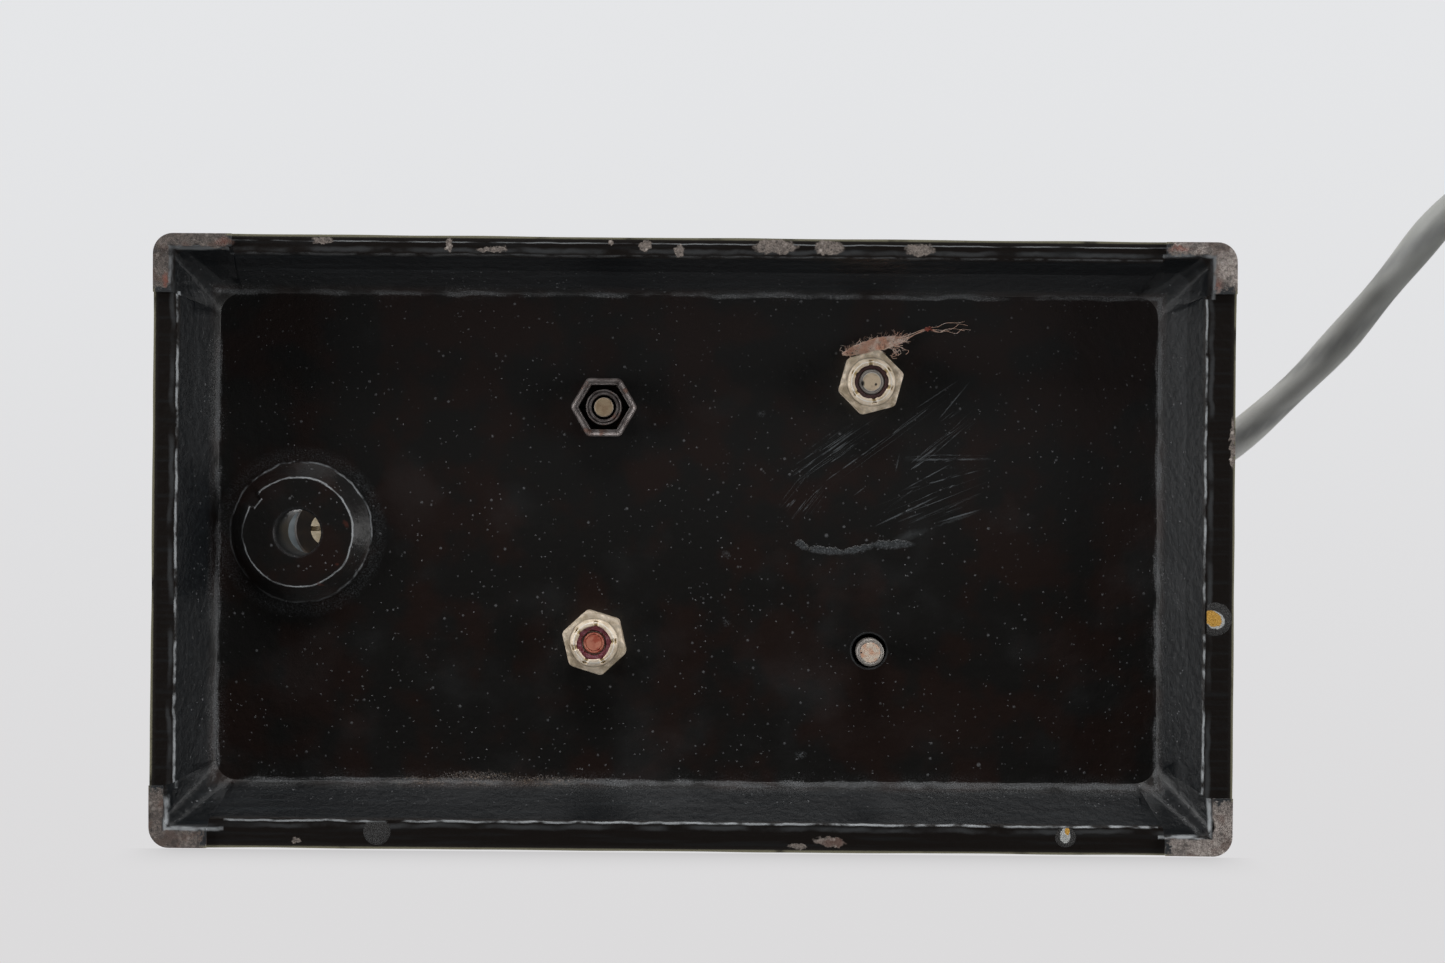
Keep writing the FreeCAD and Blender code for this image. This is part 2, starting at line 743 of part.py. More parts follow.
def stud(end):
    """A quarter-inch stud with bevelled ends, from under its nut to the top of its hole in the bedplate."""
    reach = "stud_end + deck_thick + stud_seat"
    profile = [
        ("0", "0"),
        ("stud_wide - stud_bevel", "0"),
        ("stud_wide", "stud_bevel"),
        ("stud_wide", reach),
        ("0", reach),
    ]
    return turned(f"stud_{end}", profile, *stud_place(end), "deck_low - stud_end")


def stiff_nut(end):
    """A hexagon with a round collar below it, threaded on its stud; the collar holds the fibre insert."""
    x, y = stud_place(end)
    prism = hexagon(f"nut_hex_{end}", "nut_flats", "nut_high", x, y, "nut_low")
    closed = "collar_wide - collar_taper"
    collar = cone(f"nut_collar_{end}", closed, "collar_wide", "collar_high", x, y, "collar_low")
    hole = cylinder(f"nut_hole_{end}", "stud_wide", "nut_high + collar_high", x, y, "collar_low")
    seat = cylinder(f"nut_seat_{end}", "insert_wide", "insert_high", x, y, "collar_low + insert_sink")
    blank = fuse(f"nut_blank_{end}", [prism, collar])
    return cut(f"nut_{end}", blank, fuse(f"nut_bores_{end}", [hole, seat]))


def fibre_insert(end):
    at_seat = (*stud_place(end), "collar_low + insert_sink")
    return washer_ring(f"insert_{end}", "stud_wide", "insert_wide", "insert_high", *at_seat)


def pressed_nut():
    """A hexagonal cup of sheet steel, its floor against the deck and a sleeve round the thread."""
    spot = (*stud_place("back_right"), "shell_low")
    shell = hexagon("shell_outer", "nut_flats", "shell_high", *spot)
    room = hexagon("shell_inner", "nut_flats - 2 * shell_wall", "shell_high - shell_wall", *spot)
    sleeve = cylinder("shell_sleeve", "sleeve_wide", "shell_high", *spot)
    hole = cylinder("shell_hole", "stud_wide", "shell_high", *spot)
    return cut("pressed", fuse("pressed_cup", [cut("shell_cup", shell, room), sleeve]), hole)


def under_base():
    """What is fixed under the deck: studs, nuts, fibre inserts and the stub of an earthing braid."""
    node("mounting_studs", group("studs", [stud(end) for end in STUDS]))
    stiff = ["front_right", "back_left"]
    node("stiff_nuts", group("nuts", [stiff_nut(end) for end in stiff]))
    node("fibre_inserts", group("inserts", [fibre_insert(end) for end in stiff]))
    node("pressed_lock_nut", pressed_nut())
    x, y = stud_place("back_left")
    braid_y = f"{y} + nut_flats / 2 + braid_gap + braid_wide / 2"
    spot = (x, braid_y, "deck_low - braid_thick")
    root = block("braid_root", "braid_long", "braid_wide", "braid_thick", *spot)
    strand_x = f"{x} - braid_long / 2 + strand_lap - braid_tail / 2"
    strand_thick = "braid_thick - strand_thin"
    spot = (strand_x, f"{braid_y} + strand_aside", f"deck_low - ({strand_thick})")
    strand = block("braid_strand", "braid_tail", "strand_wide", strand_thick, *spot)
    node("earth_braid_stub", fuse("braid", [root, strand]))


# ---------------------------------------------------------------- bedplate, drum and glass


def bedplate():
    corners = [
        ("bed_left", "bed_front"),
        ("bed_right", "bed_front"),
        ("bed_right", "bed_back"),
        ("bed_left", "bed_back"),
    ]
    body = padded("bed_plate", corners, "bed_thick", "0", "0", "deck_top")
    dress(body, "Fillet", "bed_corner", upright)
    dress(body, "Chamfer", "bed_edge", level_at("bed_thick"))
    holes = [
        cylinder(f"bed_hole_{end}", "stud_wide", "stud_seat", *stud_place(end), "deck_top")
        for end in STUDS
    ]
    for side in ("left", "right"):
        spot = (post_x(side), "post_y", "bed_top - post_sink")
        holes.append(cylinder(f"bed_post_{side}", "post_stem_wide", "post_sink", *spot))
    for index in range(SCREWS):
        spot = (*screw_place(index), "bed_top - screw_sink")
        holes.append(cylinder(f"bed_screw_{index}", "flange_screw", "screw_sink", *spot))
    node("instrument_bedplate", cut("bed", body, fuse("bed_holes", holes)))


def screw_place(index):
    """Centre of one of the flange screws, evenly spaced from a diagonal of the drum."""
    circle = "((drum_wide + flange_wide) / 2 + screw_out)"
    angle = 45 + index * 360 / SCREWS
    return f"drum_x + {circle} * cos({angle})", f"drum_y + {circle} * sin({angle})"


def drum():
    """The wall, its foot flange and the ledge under the glass are one turning, pierced where things pass."""
    shelf = "drum_high - glass_thick - gasket_thick"
    profile = [
        ("drum_inner", "0"),
        ("flange_wide", "0"),
        ("flange_wide", "flange_thick"),
        ("drum_wide", "flange_thick"),
        ("drum_wide", "drum_high"),
        ("drum_inner", "drum_high"),
        ("drum_inner", shelf),
        ("drum_inner - ledge_wide", shelf),
        ("drum_inner - ledge_wide", f"{shelf} - ledge_thick"),
        ("drum_inner", f"{shelf} - ledge_thick - ledge_wide"),
    ]
    wall = turned("drum_wall_body", profile, "drum_x", "drum_y", "bed_top")
    reach = "4 * drum_wall"
    inward = "drum_wide - 2.5 * drum_wall"
    through_front = ("pivot_x", f"drum_y - ({inward})", "clamp_z", "-Y")
    through_right = (f"drum_x + {inward}", "boss_y", "arm_z", "+X")
    through_left = (f"drum_x - ({inward})", "gland_y", "gland_z", "-X")
    holes = [
        cylinder("drum_clamp_hole", "clamp_bush_wide", reach, *through_front),
        cylinder("drum_arm_hole", "arm_wide", reach, *through_right),
        cylinder("drum_gland_hole", "spigot_wide", reach, *through_left),
    ]
    for index in range(SCREWS):
        spot = (*screw_place(index), "bed_top")
        holes.append(cylinder(f"drum_screw_{index}", "flange_screw", "flange_thick", *spot))
    node("case_drum", cut("drum", wall, fuse("drum_holes", holes)))
    head_top = "flange_thick + screw_head_high"
    profile = [
        ("0", "-screw_sink"),
        ("flange_screw", "-screw_sink"),
        ("flange_screw", "flange_thick"),
        ("flange_screw + screw_head", "flange_thick"),
        ("flange_screw + screw_head", f"{head_top} - screw_head_round"),
        ("flange_screw", head_top),
        ("0", head_top),
    ]
    screws = [
        turned(f"flange_screw_{index}", profile, *screw_place(index), "bed_top")
        for index in range(SCREWS)
    ]
    node("flange_screws", group("flange_screw_set", screws))


def glazing():
    gasket_inner = "drum_inner - ledge_wide"
    at_ledge = ("drum_x", "drum_y", "glass_low - gasket_thick")
    gasket = washer_ring("gasket", gasket_inner, "drum_inner", "gasket_thick", *at_ledge)
    node("glass_gasket", gasket)
    pane_wide = "drum_inner - glass_room"
    pane = cylinder("glass_pane", pane_wide, "glass_thick", "drum_x", "drum_y", "glass_low")
    room = "zero_stem_wide + turn_room"
    hole = cylinder("glass_hole", room, "glass_thick", "pivot_x", "pivot_y - zero_reach", "glass_low")
    node("dial_glass", cut("glass", pane, hole))
    lip = "drum_wide - bezel_lip"
    profile = [
        ("bezel_inner", "0"),
        ("bezel_wide", "0"),
        ("bezel_wide", "bezel_skirt + bezel_top - bezel_edge"),
        ("bezel_wide - bezel_edge", "bezel_skirt + bezel_top"),
        (f"{lip} + bezel_slope", "bezel_skirt + bezel_top"),
        (lip, "bezel_skirt + bezel_brim"),
        (lip, "bezel_skirt"),
        ("bezel_inner", "bezel_skirt"),
    ]
    node("bezel_ring", turned("bezel", profile, "drum_x", "drum_y", "bed_top + drum_high - bezel_skirt"))


# ---------------------------------------------------------------- movement


def horseshoe(name, z):
    """One lamination: a half ring behind the pivot and two straight legs beside it."""
    centre = "pivot_y + magnet_bend"
    leg = "(magnet_bend + magnet_leg)"
    at_bend = ("pivot_x", centre, z)
    at_legs = ("pivot_x", f"{centre} - {leg} / 2", z)
    past_legs = ("pivot_x", f"{centre} - {leg} - magnet_outer / 2", z)
    disc = cylinder(name + "_disc", "magnet_outer", "lamination", *at_bend)
    legs = block(name + "_legs", "2 * magnet_outer", leg, "lamination", *at_legs)
    eye = cylinder(name + "_eye", "magnet_inner", "lamination", *at_bend)
    gap = block(name + "_gap", "2 * magnet_inner", leg, "lamination", *at_legs)
    before = block(name + "_trim", "2 * magnet_outer", "magnet_outer", "lamination", *past_legs)
    blank = fuse(name + "_blank", [disc, legs])
    return cut(name, blank, fuse(name + "_waste", [eye, gap, before]))


def magnet():
    stack = [
        horseshoe(f"lamination_{index}", f"magnet_low + {index} * lamination")
        for index in range(round(number("lamination_count")))
    ]
    node("magnet_laminations", group("magnet", stack))
    middle = "(magnet_outer + magnet_inner) / 2"
    back = f"pivot_y + magnet_bend + {middle}"
    spots = [(f"pivot_x - {middle}", "pivot_y"), (f"pivot_x + {middle}", "pivot_y"), ("pivot_x", back)]
    pillars = [
        cylinder(f"magnet_pillar_{index}", "pillar_wide", "magnet_rise", *spot, "bed_top")
        for index, spot in enumerate(spots)
    ]
    node("magnet_pillars", group("pillars", pillars))


def pole_pieces():
    high = "pole_top - pole_low"
    blank = block("pole_blank", "2 * magnet_inner", "2 * pole_deep", high, "pivot_x", "pivot_y", "pole_low")
    bore = cylinder("pole_hole", "pole_bore", high, "pivot_x", "pivot_y", "pole_low")
    slot = block("pole_gap", "2 * pole_slot", "2 * pole_deep", high, "pivot_x", "pivot_y", "pole_low")
    node("pole_pieces", cut("poles", blank, fuse("pole_waste", [bore, slot])))
    core = cylinder("iron_core", "core_wide", high, "pivot_x", "pivot_y", "pole_low")
    drill = cylinder("core_hole", "staff_wide + core_drill", high, "pivot_x", "pivot_y", "pole_low")
    node("soft_iron_core", cut("core", core, drill))
    low = "pole_low + support_inset"
    tall = f"{high} - 2 * support_inset"
    across = "2 * (magnet_inner - support_end)"
    at_poles = ("pivot_x", "pivot_y - pole_deep - support_thick / 2", low)
    bar = block("core_bar", across, "support_thick", tall, *at_poles)
    stem_long = "(pole_deep - core_wide + support_lap)"
    at_core = ("pivot_x", f"pivot_y - pole_deep + {stem_long} / 2", low)
    stem = block("core_stem", "support_stem", stem_long, tall, *at_core)
    hug = cylinder("support_hug", "core_wide", high, "pivot_x", "pivot_y", "pole_low")
    node("core_support", cut("support", fuse("support_blank", [bar, stem]), hug))


def bridge(name, low, leg_low, leg_high):
    """A bar across the pivot on two legs, bored for its jewel screw."""
    wide = "2 * (bridge_out + bridge_leg)"
    bar = block(name + "_bar", wide, "bridge_deep", "bridge_thick", "pivot_x", "pivot_y", low)
    legs = []
    for end, side in (("right", "+"), ("left", "-")):
        spot = (f"pivot_x {side} (bridge_out + bridge_leg / 2)", "pivot_y", leg_low)
        size = ("bridge_leg", "bridge_deep", f"{leg_high} - {leg_low}")
        legs.append(block(f"{name}_leg_{end}", *size, *spot))
    hole = cylinder(name + "_hole", "jewel_wide", "bridge_thick", "pivot_x", "pivot_y", low)
    return cut(name, fuse(name + "_blank", [bar] + legs), hole)


def jewel_screw(name, z, facing_up):
    """A screw with a blind pivot hole in the end that faces the coil."""
    hole = "staff_wide + staff_room"
    sign = "" if facing_up else "-"
    deep = f"{sign}jewel_deep"
    end = f"{sign}(bridge_thick + 2 * jewel_proud)"
    profile = [("0", deep), (hole, deep), (hole, "0"), ("jewel_wide", "0"), ("jewel_wide", end), ("0", end)]
    return turned(name, profile, "pivot_x", "pivot_y", z)


def bridges():
    node("upper_bridge", bridge("upper", "bridge_low", "pole_top", "bridge_top"))
    under = bridge("lower", "under_bridge_low", "under_bridge_low", "pole_low")
    stud_low = "under_bridge_top - anchor_sink"
    stud_high = f"lower_spring + spring_high - ({stud_low})"
    spot = ("pivot_x - spring_stud_off", "pivot_y", stud_low)
    anchor = block("lower_spring_stud", "spring_stud", "spring_stud", stud_high, *spot)
    node("lower_bridge", fuse("lower_bridge_piece", [under, anchor]))
    upper = jewel_screw("jewel_upper", "bridge_low - jewel_proud", True)
    lower = jewel_screw("jewel_lower", "under_bridge_top + jewel_proud", False)
    node("jewel_screws", group("jewels", [upper, lower]))


def moving_coil():
    """The winding on its former, the two pivot staffs, the pointer and its balance weights."""
    at_pivot = ("pivot_x", "pivot_y")
    deep = "coil_deep + 2 * former_lip"
    high = "former_top - former_low"
    opening = f"{high} - 2 * former_wall"
    frame = block("former_block", "2 * former_outer", deep, high, *at_pivot, "former_low")
    hole = block("former_hole", "2 * former_inner", deep, opening, *at_pivot, "former_low + former_wall")
    node("coil_former", cut("former", frame, hole))
    wound_high = "winding_top - winding_low"
    wound = block("winding_block", "2 * winding_outer", "coil_deep", wound_high, *at_pivot, "winding_low")
    within = block("winding_hole", "2 * former_outer", "coil_deep", high, *at_pivot, "former_low")
    node("coil_winding", cut("winding", wound, within))
    upper = cylinder("staff_upper", "staff_wide", "staff_top - winding_top", *at_pivot, "winding_top")
    lower = cylinder("staff_lower", "staff_wide", "winding_low - staff_bottom", *at_pivot, "staff_bottom")
    node("pivot_staffs", group("staffs", [upper, lower]))
    half = "pointer_wide / 2"
    right = [
        (half, "-pointer_tail"),
        (half, "pointer_reach - pointer_neck"),
        ("spade_half", "pointer_reach - pointer_spade"),
        ("point_half", "pointer_reach - pointer_point"),
        ("point_half", "pointer_reach"),
    ]
    left = [(f"-({u})", v) for u, v in reversed(right)]
    needle = padded("pointer_blade", right + left, "pointer_thick", *at_pivot, "pointer_low")
    hub = cylinder("pointer_boss", "pointer_hub", "pointer_thick", *at_pivot, "pointer_low")
    arms = ("2 * pointer_arm", "pointer_cross", "pointer_thick")
    cross = block("pointer_cross_arms", *arms, *at_pivot, "pointer_low")
    eye = cylinder("pointer_eye", "staff_wide", "pointer_thick", *at_pivot, "pointer_low")
    rooms, weights = [], []
    arm = "(pointer_arm - weight_wide + weight_past)"
    tail = "(pointer_tail - weight_wide / 2)"
    for name, x, y in (("left", f"-{arm}", "0"), ("right", arm, "0"), ("tail", "0", f"-{tail}")):
        size = ("weight_wide", "pointer_thick + 2 * weight_proud")
        spot = (f"pivot_x + {x}", f"pivot_y + {y}", "pointer_low - weight_proud")
        rooms.append(cylinder(f"weight_room_{name}", *size, *spot))
        weights.append(cylinder(f"weight_{name}", *size, *spot))
    waste = fuse("pointer_waste", rooms + [eye])
    node("pointer", cut("pointer_piece", fuse("pointer_blank", [needle, hub, cross]), waste))
    node("balance_weights", group("weights", weights))


def hairspring(name, z, last_angle):
    """A flat spiral strip from just outside the staff to its stud, where it ends at an angle in degrees."""
    turns = round(number("spring_turns"))
    steps = SPRING_STEPS * turns
    half = number("spring_strip") / 2
    first = number("staff_wide + spring_eye") + half
    last = number("spring_out") - half
    sides = {-half: [], half: []}
    for step in range(steps + 1):
        angle = math.radians(last_angle) - 2 * math.pi * turns * (1 - step / steps)
        radius = first + (last - first) * step / steps
        for side, points in sides.items():
            out = radius + side
            points.append(FreeCAD.Vector(out * math.cos(angle), out * math.sin(angle), 0))
    edges = []
    for points in sides.values():
        curve = Part.BSplineCurve()
        curve.interpolate(points)
        edges.append(curve.toShape())
    for end in (0, -1):
        edges.append(Part.LineSegment(sides[-half][end], sides[half][end]).toShape())
    face = Part.Face(Part.Wire(Part.__sortEdges__(edges)))
    strip = face.extrude(FreeCAD.Vector(0, 0, number("spring_high")))
    piece = doc.addObject("Part::Feature", name)
    piece.Shape = strip
    piece.Placement.Base = FreeCAD.Vector(number("pivot_x"), number("pivot_y"), number(z))
    return piece


def springs_and_zero():
    """The two hairsprings, and the arm and knob that turn the upper one's stud to set the zero."""
    node("upper_hairspring", hairspring("spring_upper", "spring_low", -90))
    node("lower_hairspring", hairspring("spring_lower", "lower_spring", 180))
    at_pivot = ("pivot_x", "pivot_y", "zero_low")
    ring = cylinder("zero_ring", "jewel_wide + zero_rim", "zero_arm_thick", *at_pivot)
    arm_long = "(zero_reach + zero_pin + zero_end)"
    along = ("pivot_x", f"pivot_y - {arm_long} / 2", "zero_low")
    arm = block("zero_bar", "zero_bar_wide", arm_long, "zero_arm_thick", *along)
    at_spring = ("pivot_x", "pivot_y - spring_stud_off", "spring_low")
    drop = block("zero_stud", "spring_stud", "spring_stud", "zero_low - spring_low", *at_spring)
    eye = cylinder("zero_eye", "jewel_wide + turn_room", "zero_arm_thick", *at_pivot)
    at_pin = ("pivot_x", "pivot_y - zero_reach - zero_pin + zero_slot_in", "zero_low")
    slot = block("zero_slot", "2 * zero_fork", "zero_slot_long", "zero_arm_thick", *at_pin)
    node("zero_arm", cut("zero", fuse("zero_blank", [ring, arm, drop]), fuse("zero_waste", [eye, slot])))
    stem_end = "-glass_thick - zero_under"
    profile = [
        ("0", stem_end),
        ("zero_stem_wide", stem_end),
        ("zero_stem_wide", "seat_gap"),
        ("zero_knob_wide", "seat_gap"),
        ("zero_knob_wide", "zero_knob_high - zero_knob_edge"),
        ("zero_knob_wide - zero_knob_edge", "zero_knob_high"),
        ("0", "zero_knob_high"),
    ]
    top = "glass_low + glass_thick"
    knob_y = "pivot_y - zero_reach"
    knob = turned("zero_knob_body", profile, "pivot_x", knob_y, top)
    on_top = ("pivot_x", knob_y, f"{top} + zero_knob_high - zero_nick")
    nick = block("zero_knob_nick", "zero_nick", "2 * zero_knob_wide", "zero_nick", *on_top)
    low = "zero_low - zero_pin_past"
    long = f"glass_low - zero_under - ({low})"
    pin = cylinder("zero_pin_rod", "zero_pin_wide", long, "pivot_x", f"{knob_y} - zero_pin", low)
    node("zero_knob", fuse("zero_knob_piece", [cut("zero_knob_cut", knob, nick), pin]))


def dial():
    """The scale plate, opened round the movement and slotted for the clamp leaf, on three pillars."""
    plate = cylinder("dial_disc", "dial_wide", "dial_thick", "drum_x", "drum_y", "dial_low")
    opening = cylinder("dial_opening", "dial_hole", "dial_thick", "pivot_x", "pivot_y", "dial_low")
    slot_y = "pivot_y - dial_wide / 2"
    at_slot = ("pivot_x", slot_y, "dial_low")
    slot = block("dial_clamp_slot", "2 * dial_slot", "dial_wide", "dial_thick", *at_slot)
    node("dial_plate", cut("dial", plate, fuse("dial_waste", [opening, slot])))
    posts = []
    circle = "(dial_wide - dial_post - dial_post_in)"
    for angle in DIAL_POST_ANGLES:
        spot = (f"drum_x + {circle} * cos({angle})", f"drum_y + {circle} * sin({angle})", "bed_top")
        posts.append(cylinder(f"dial_post_{angle}", "dial_post", "dial_low - bed_top", *spot))
    node("dial_pillars", group("dial_posts", posts))


def clamp():
    """Knob and eccentric at the front of the drum; a leaf lies over it, below the pointer's tail."""
    at_front = ("pivot_x", "clamp_front", "clamp_z", "-Y")
    profile = [
        ("clamp_shaft + turn_room", "-2 * drum_wall"),
        ("clamp_bush_wide", "-2 * drum_wall"),
        ("clamp_bush_wide", "seat_gap"),
        ("clamp_bush_wide + clamp_bush_lip", "seat_gap"),
        ("clamp_bush_wide + clamp_bush_lip", "clamp_bush_end"),
        ("clamp_shaft + turn_room", "clamp_bush_end"),
    ]
    node("clamp_bush", turned("clamp_bush_body", profile, *at_front))
    face = "clamp_knob_off + clamp_knob_long"
    profile = [
        ("0", "-clamp_reach"),
        ("clamp_shaft", "-clamp_reach"),
        ("clamp_shaft", "clamp_knob_off"),
        ("clamp_knob_wide", "clamp_knob_off"),
        ("clamp_knob_wide", f"{face} - clamp_knob_edge"),
        ("clamp_knob_wide - clamp_knob_edge", face),
        ("0", face),
    ]
    knob = turned("clamp_knob_body", profile, *at_front)
    at_end = ("pivot_x", "clamp_front + clamp_reach", "clamp_z - clamp_throw", "-Y")
    cam = cylinder("clamp_eccentric", "clamp_cam", "clamp_cam_long", *at_end)
    at_face = ("pivot_x", f"clamp_front - ({face})", "clamp_z + clamp_mark_up")
    mark = block("clamp_mark", "clamp_mark_wide", "2 * clamp_mark_deep", "clamp_mark_long", *at_face)
    node("clamp_knob", cut("clamp_knob_piece", fuse("clamp_knob_blank", [knob, cam]), mark))
    back = "(pivot_y - pointer_tail + leaf_back)"
    front = "(clamp_front + drum_wall + leaf_front)"
    at_leaf = ("pivot_x", f"({back} + {front}) / 2", "leaf_low")
    node("clamp_leaf", block("leaf", "leaf_wide", f"{back} - {front}", "clamp_leaf_thick", *at_leaf))


# ---------------------------------------------------------------- terminals


def post_x(side):
    return f"drum_x {'-' if side == 'left' else '+'} post_off_x"


def terminal_bush(side):
    profile = [
        ("post_stem_wide", "0"),
        ("post_bush_wide", "0"),
        ("post_bush_wide", "post_bush_high - post_bush_edge"),
        ("post_bush_wide - post_bush_edge", "post_bush_high"),
        ("post_stem_wide", "post_bush_high"),
    ]
    return turned(f"bush_{side}", profile, post_x(side), "post_y", "bed_top")


def terminal_stem(side):
    profile = [
        ("0", "-post_sink"),
        ("post_stem_wide", "-post_sink"),
        ("post_stem_wide", "post_stem_high - post_bevel"),
        ("post_stem_wide - post_bevel", "post_stem_high"),
        ("0", "post_stem_high"),
    ]
    return turned(f"stem_{side}", profile, post_x(side), "post_y", "bed_top")


def terminal_nut(side):
    """A knurled nut with a narrow foot, a little above its washer."""
    bore = "post_stem_wide + thread_room"
    profile = [
        (bore, "0"),
        ("nut_foot_wide", "0"),
        ("nut_foot_wide", "nut_foot_high"),
        ("nut_knurl_wide", "nut_foot_high + nut_edge"),
        ("nut_knurl_wide", "nut_knurl_high - nut_edge"),
        ("nut_knurl_wide - nut_edge", "nut_knurl_high"),
        (bore, "nut_knurl_high"),
    ]
    body = turned(f"nut_{side}", profile, post_x(side), "post_y", "washer_low + washer_thick + seat_gap")
    return knurl(body)


def knurl(body):
    """V-grooves along a nut's side, as one pocket in a polar pattern."""
    doc.recompute()
    smooth = body.Shape.Volume
    sketch = sketch_in(body, "XY_Plane", "_groove_sketch")
    out = "nut_knurl_wide + knurl_past"
    outline(sketch, [("nut_knurl_wide - knurl_deep", "0"), (out, "-knurl_half"), (out, "knurl_half")])
    groove = body.newObject("PartDesign::Pocket", body.Name + "_groove")
    groove.Profile = (sketch, [""])
    groove.Reversed = True
    bind(groove, Length="nut_knurl_high")
    doc.recompute()
    one_groove = smooth - body.Shape.Volume
    pattern = body.newObject("PartDesign::PolarPattern", body.Name + "_knurl")
    pattern.Originals = [groove]
    pattern.Axis = (sketch, ["N_Axis"])
    pattern.Angle = 360
    bind(pattern, Occurrences="nut_knurl_count")
    body.Tip = pattern
    doc.recompute()
    if one_groove <= 0 or smooth - body.Shape.Volume < 2 * one_groove:
        raise ValueError(f"{body.Name}: the knurl cut nothing")
    return body


def terminals():
    sides = ("left", "right")
    node("terminal_bushes", group("bushes", [terminal_bush(side) for side in sides]))
    node("terminal_stems", group("stems", [terminal_stem(side) for side in sides]))
    for side in sides:
        bore = "post_stem_wide + thread_room"
        size = (bore, "washer_wide", "washer_thick", post_x(side), "post_y", "washer_low")
        node(f"terminal_washer_{side}", washer_ring(f"washer_{side}", *size))
        node(f"terminal_nut_{side}", terminal_nut(side))


# ---------------------------------------------------------------- dial lamp over the boss


def lamp_arm():
    """A tube from the drum's wall into the socket of the lamp cradle, with a flange screwed to the drum."""
    long = "arm_tip - arm_start"
    tube = cylinder("arm_rod", "arm_wide", long, "arm_start", "boss_y", "arm_z", "+X")
    at_drum = ("arm_face", "boss_y", "arm_z", "+X")
    flange = cylinder("arm_flange", "arm_flange_wide", "arm_flange_thick", *at_drum)
    wires = cylinder("arm_wireway", "arm_wide - arm_wall", long, "arm_start", "boss_y", "arm_z", "+X")
    screws, holes = [], []
    circle = "((arm_wide + arm_flange_wide) / 2)"
    for angle in ARM_SCREW_ANGLES:
        spot = (f"boss_y + {circle} * sin({angle})", f"arm_z + {circle} * cos({angle})", "+X")
        inner, outer = "arm_face", "arm_face + arm_flange_thick"
        holes.append(cylinder(f"arm_hole_{angle}", "arm_screw", "arm_flange_thick", inner, *spot))
        shank = cylinder(f"arm_shank_{angle}", "arm_screw", "arm_flange_thick", inner, *spot)
        head = cylinder(f"arm_head_{angle}", "arm_screw_head", "arm_screw_head_high", outer, *spot)
        screws.append(fuse(f"arm_screw_{angle}", [shank, head]))
    node("lamp_arm", cut("arm", fuse("arm_blank", [tube, flange]), fuse("arm_waste", holes + [wires])))
    node("arm_screws", group("arm_screw_set", screws))


def lamp_cradle():
    """A shallow cup over the boss, with a socket for the arm and a boss for the switch key."""
    profile = [
        ("holder_body", "0"),
        ("cradle_wide - cradle_edge", "0"),
        ("cradle_wide", "cradle_edge"),
        ("cradle_wide", "cradle_high"),
        ("cradle_inner", "cradle_high"),
        ("cradle_inner", "cradle_floor"),
        ("holder_body", "cradle_floor"),
    ]
    cup = turned("cradle_cup", profile, "boss_x", "boss_y", "cradle_base")
    at_mouth = ("socket_mouth", "boss_y", "arm_z", "+X")
    at_key = ("key_start", "boss_y", "arm_z", "+X")
    socket = cylinder("cradle_socket", "socket_wide", "socket_long", *at_mouth)
    key_boss = cylinder("cradle_key_boss", "key_boss_wide", "key_boss_long", *at_key)
    in_cup = ("boss_x", "boss_y", "cradle_base + cradle_floor")
    room = cylinder("cradle_room", "cradle_inner", "2 * cradle_high", *in_cup)
    bore = cylinder("cradle_bore", "arm_wide", "arm_tip - socket_mouth", *at_mouth)
    key_hole = cylinder("cradle_key_hole", "key_shaft + turn_room", "2 * key_boss_long", *at_key)
    outside = cut("cradle_bosses", fuse("cradle_outside", [socket, key_boss]), room)
    blank = fuse("cradle_blank", [cup, outside])
    node("lamp_cradle", cut("cradle", blank, fuse("cradle_holes", [bore, key_hole])))
    shaft = cylinder("key_rod", "key_shaft", "key_long", "key_start + key_gap", "boss_y", "arm_z", "+X")
    wing_x = "key_start + key_gap + key_long - key_wing_long / 2"
    size = ("key_wing_long", "key_wing_thick", "key_wing_wide")
    wing = block("key_wing", *size, wing_x, "boss_y", "arm_z - key_wing_wide / 2")
    node("lamp_switch_key", fuse("key", [shaft, wing]))


def lampholder():
    """Ebonite bush through the cradle's floor, its contact screw below and the bulb above."""
    flange_low = "-holder_flange_high"
    profile = [
        ("contact_wide", flange_low),
        ("holder_flange - holder_edge", flange_low),
        ("holder_flange", f"{flange_low} + holder_edge"),
        ("holder_flange", "0"),
        ("holder_body", "0"),
        ("holder_body", "holder_high"),
        ("bulb_cap + bulb_room", "holder_high"),
        ("bulb_cap + bulb_room", "bulb_seat"),
        ("contact_wide", "bulb_seat"),
    ]
    node("lampholder_bush", turned("holder", profile, "boss_x", "boss_y", "cradle_base"))
    long = "contact_proud + holder_flange_high + bulb_seat - bulb_room"
    at_face = ("boss_x", "boss_y", "cradle_base - holder_flange_high - contact_proud")
    rod = cylinder("contact_rod", "contact_wide", long, *at_face)
    slot = block("contact_slot", "2 * contact_wide", "contact_slot_wide", "contact_slot_deep", *at_face)
    node("contact_screw", cut("contact", rod, slot))
    cap_low = "cradle_base + bulb_seat + bulb_room"
    cap_top = f"{cap_low} + bulb_cap_high"
    cap = cylinder("bulb_cap_body", "bulb_cap", "bulb_cap_high", "boss_x", "boss_y", cap_low)
    at_neck = ("boss_x", "boss_y", f"{cap_top} - bulb_lap")
    neck = cylinder("bulb_stem", "bulb_cap - bulb_neck", "bulb_wide", *at_neck)
    globe = doc.addObject("Part::Sphere", "bulb_globe")
    bind(globe, Radius="bulb_wide")
    place(globe, "boss_x", "boss_y", f"{cap_top} + bulb_wide - bulb_dip")
    node("lamp_bulb", fuse("bulb", [cap, neck, globe]))


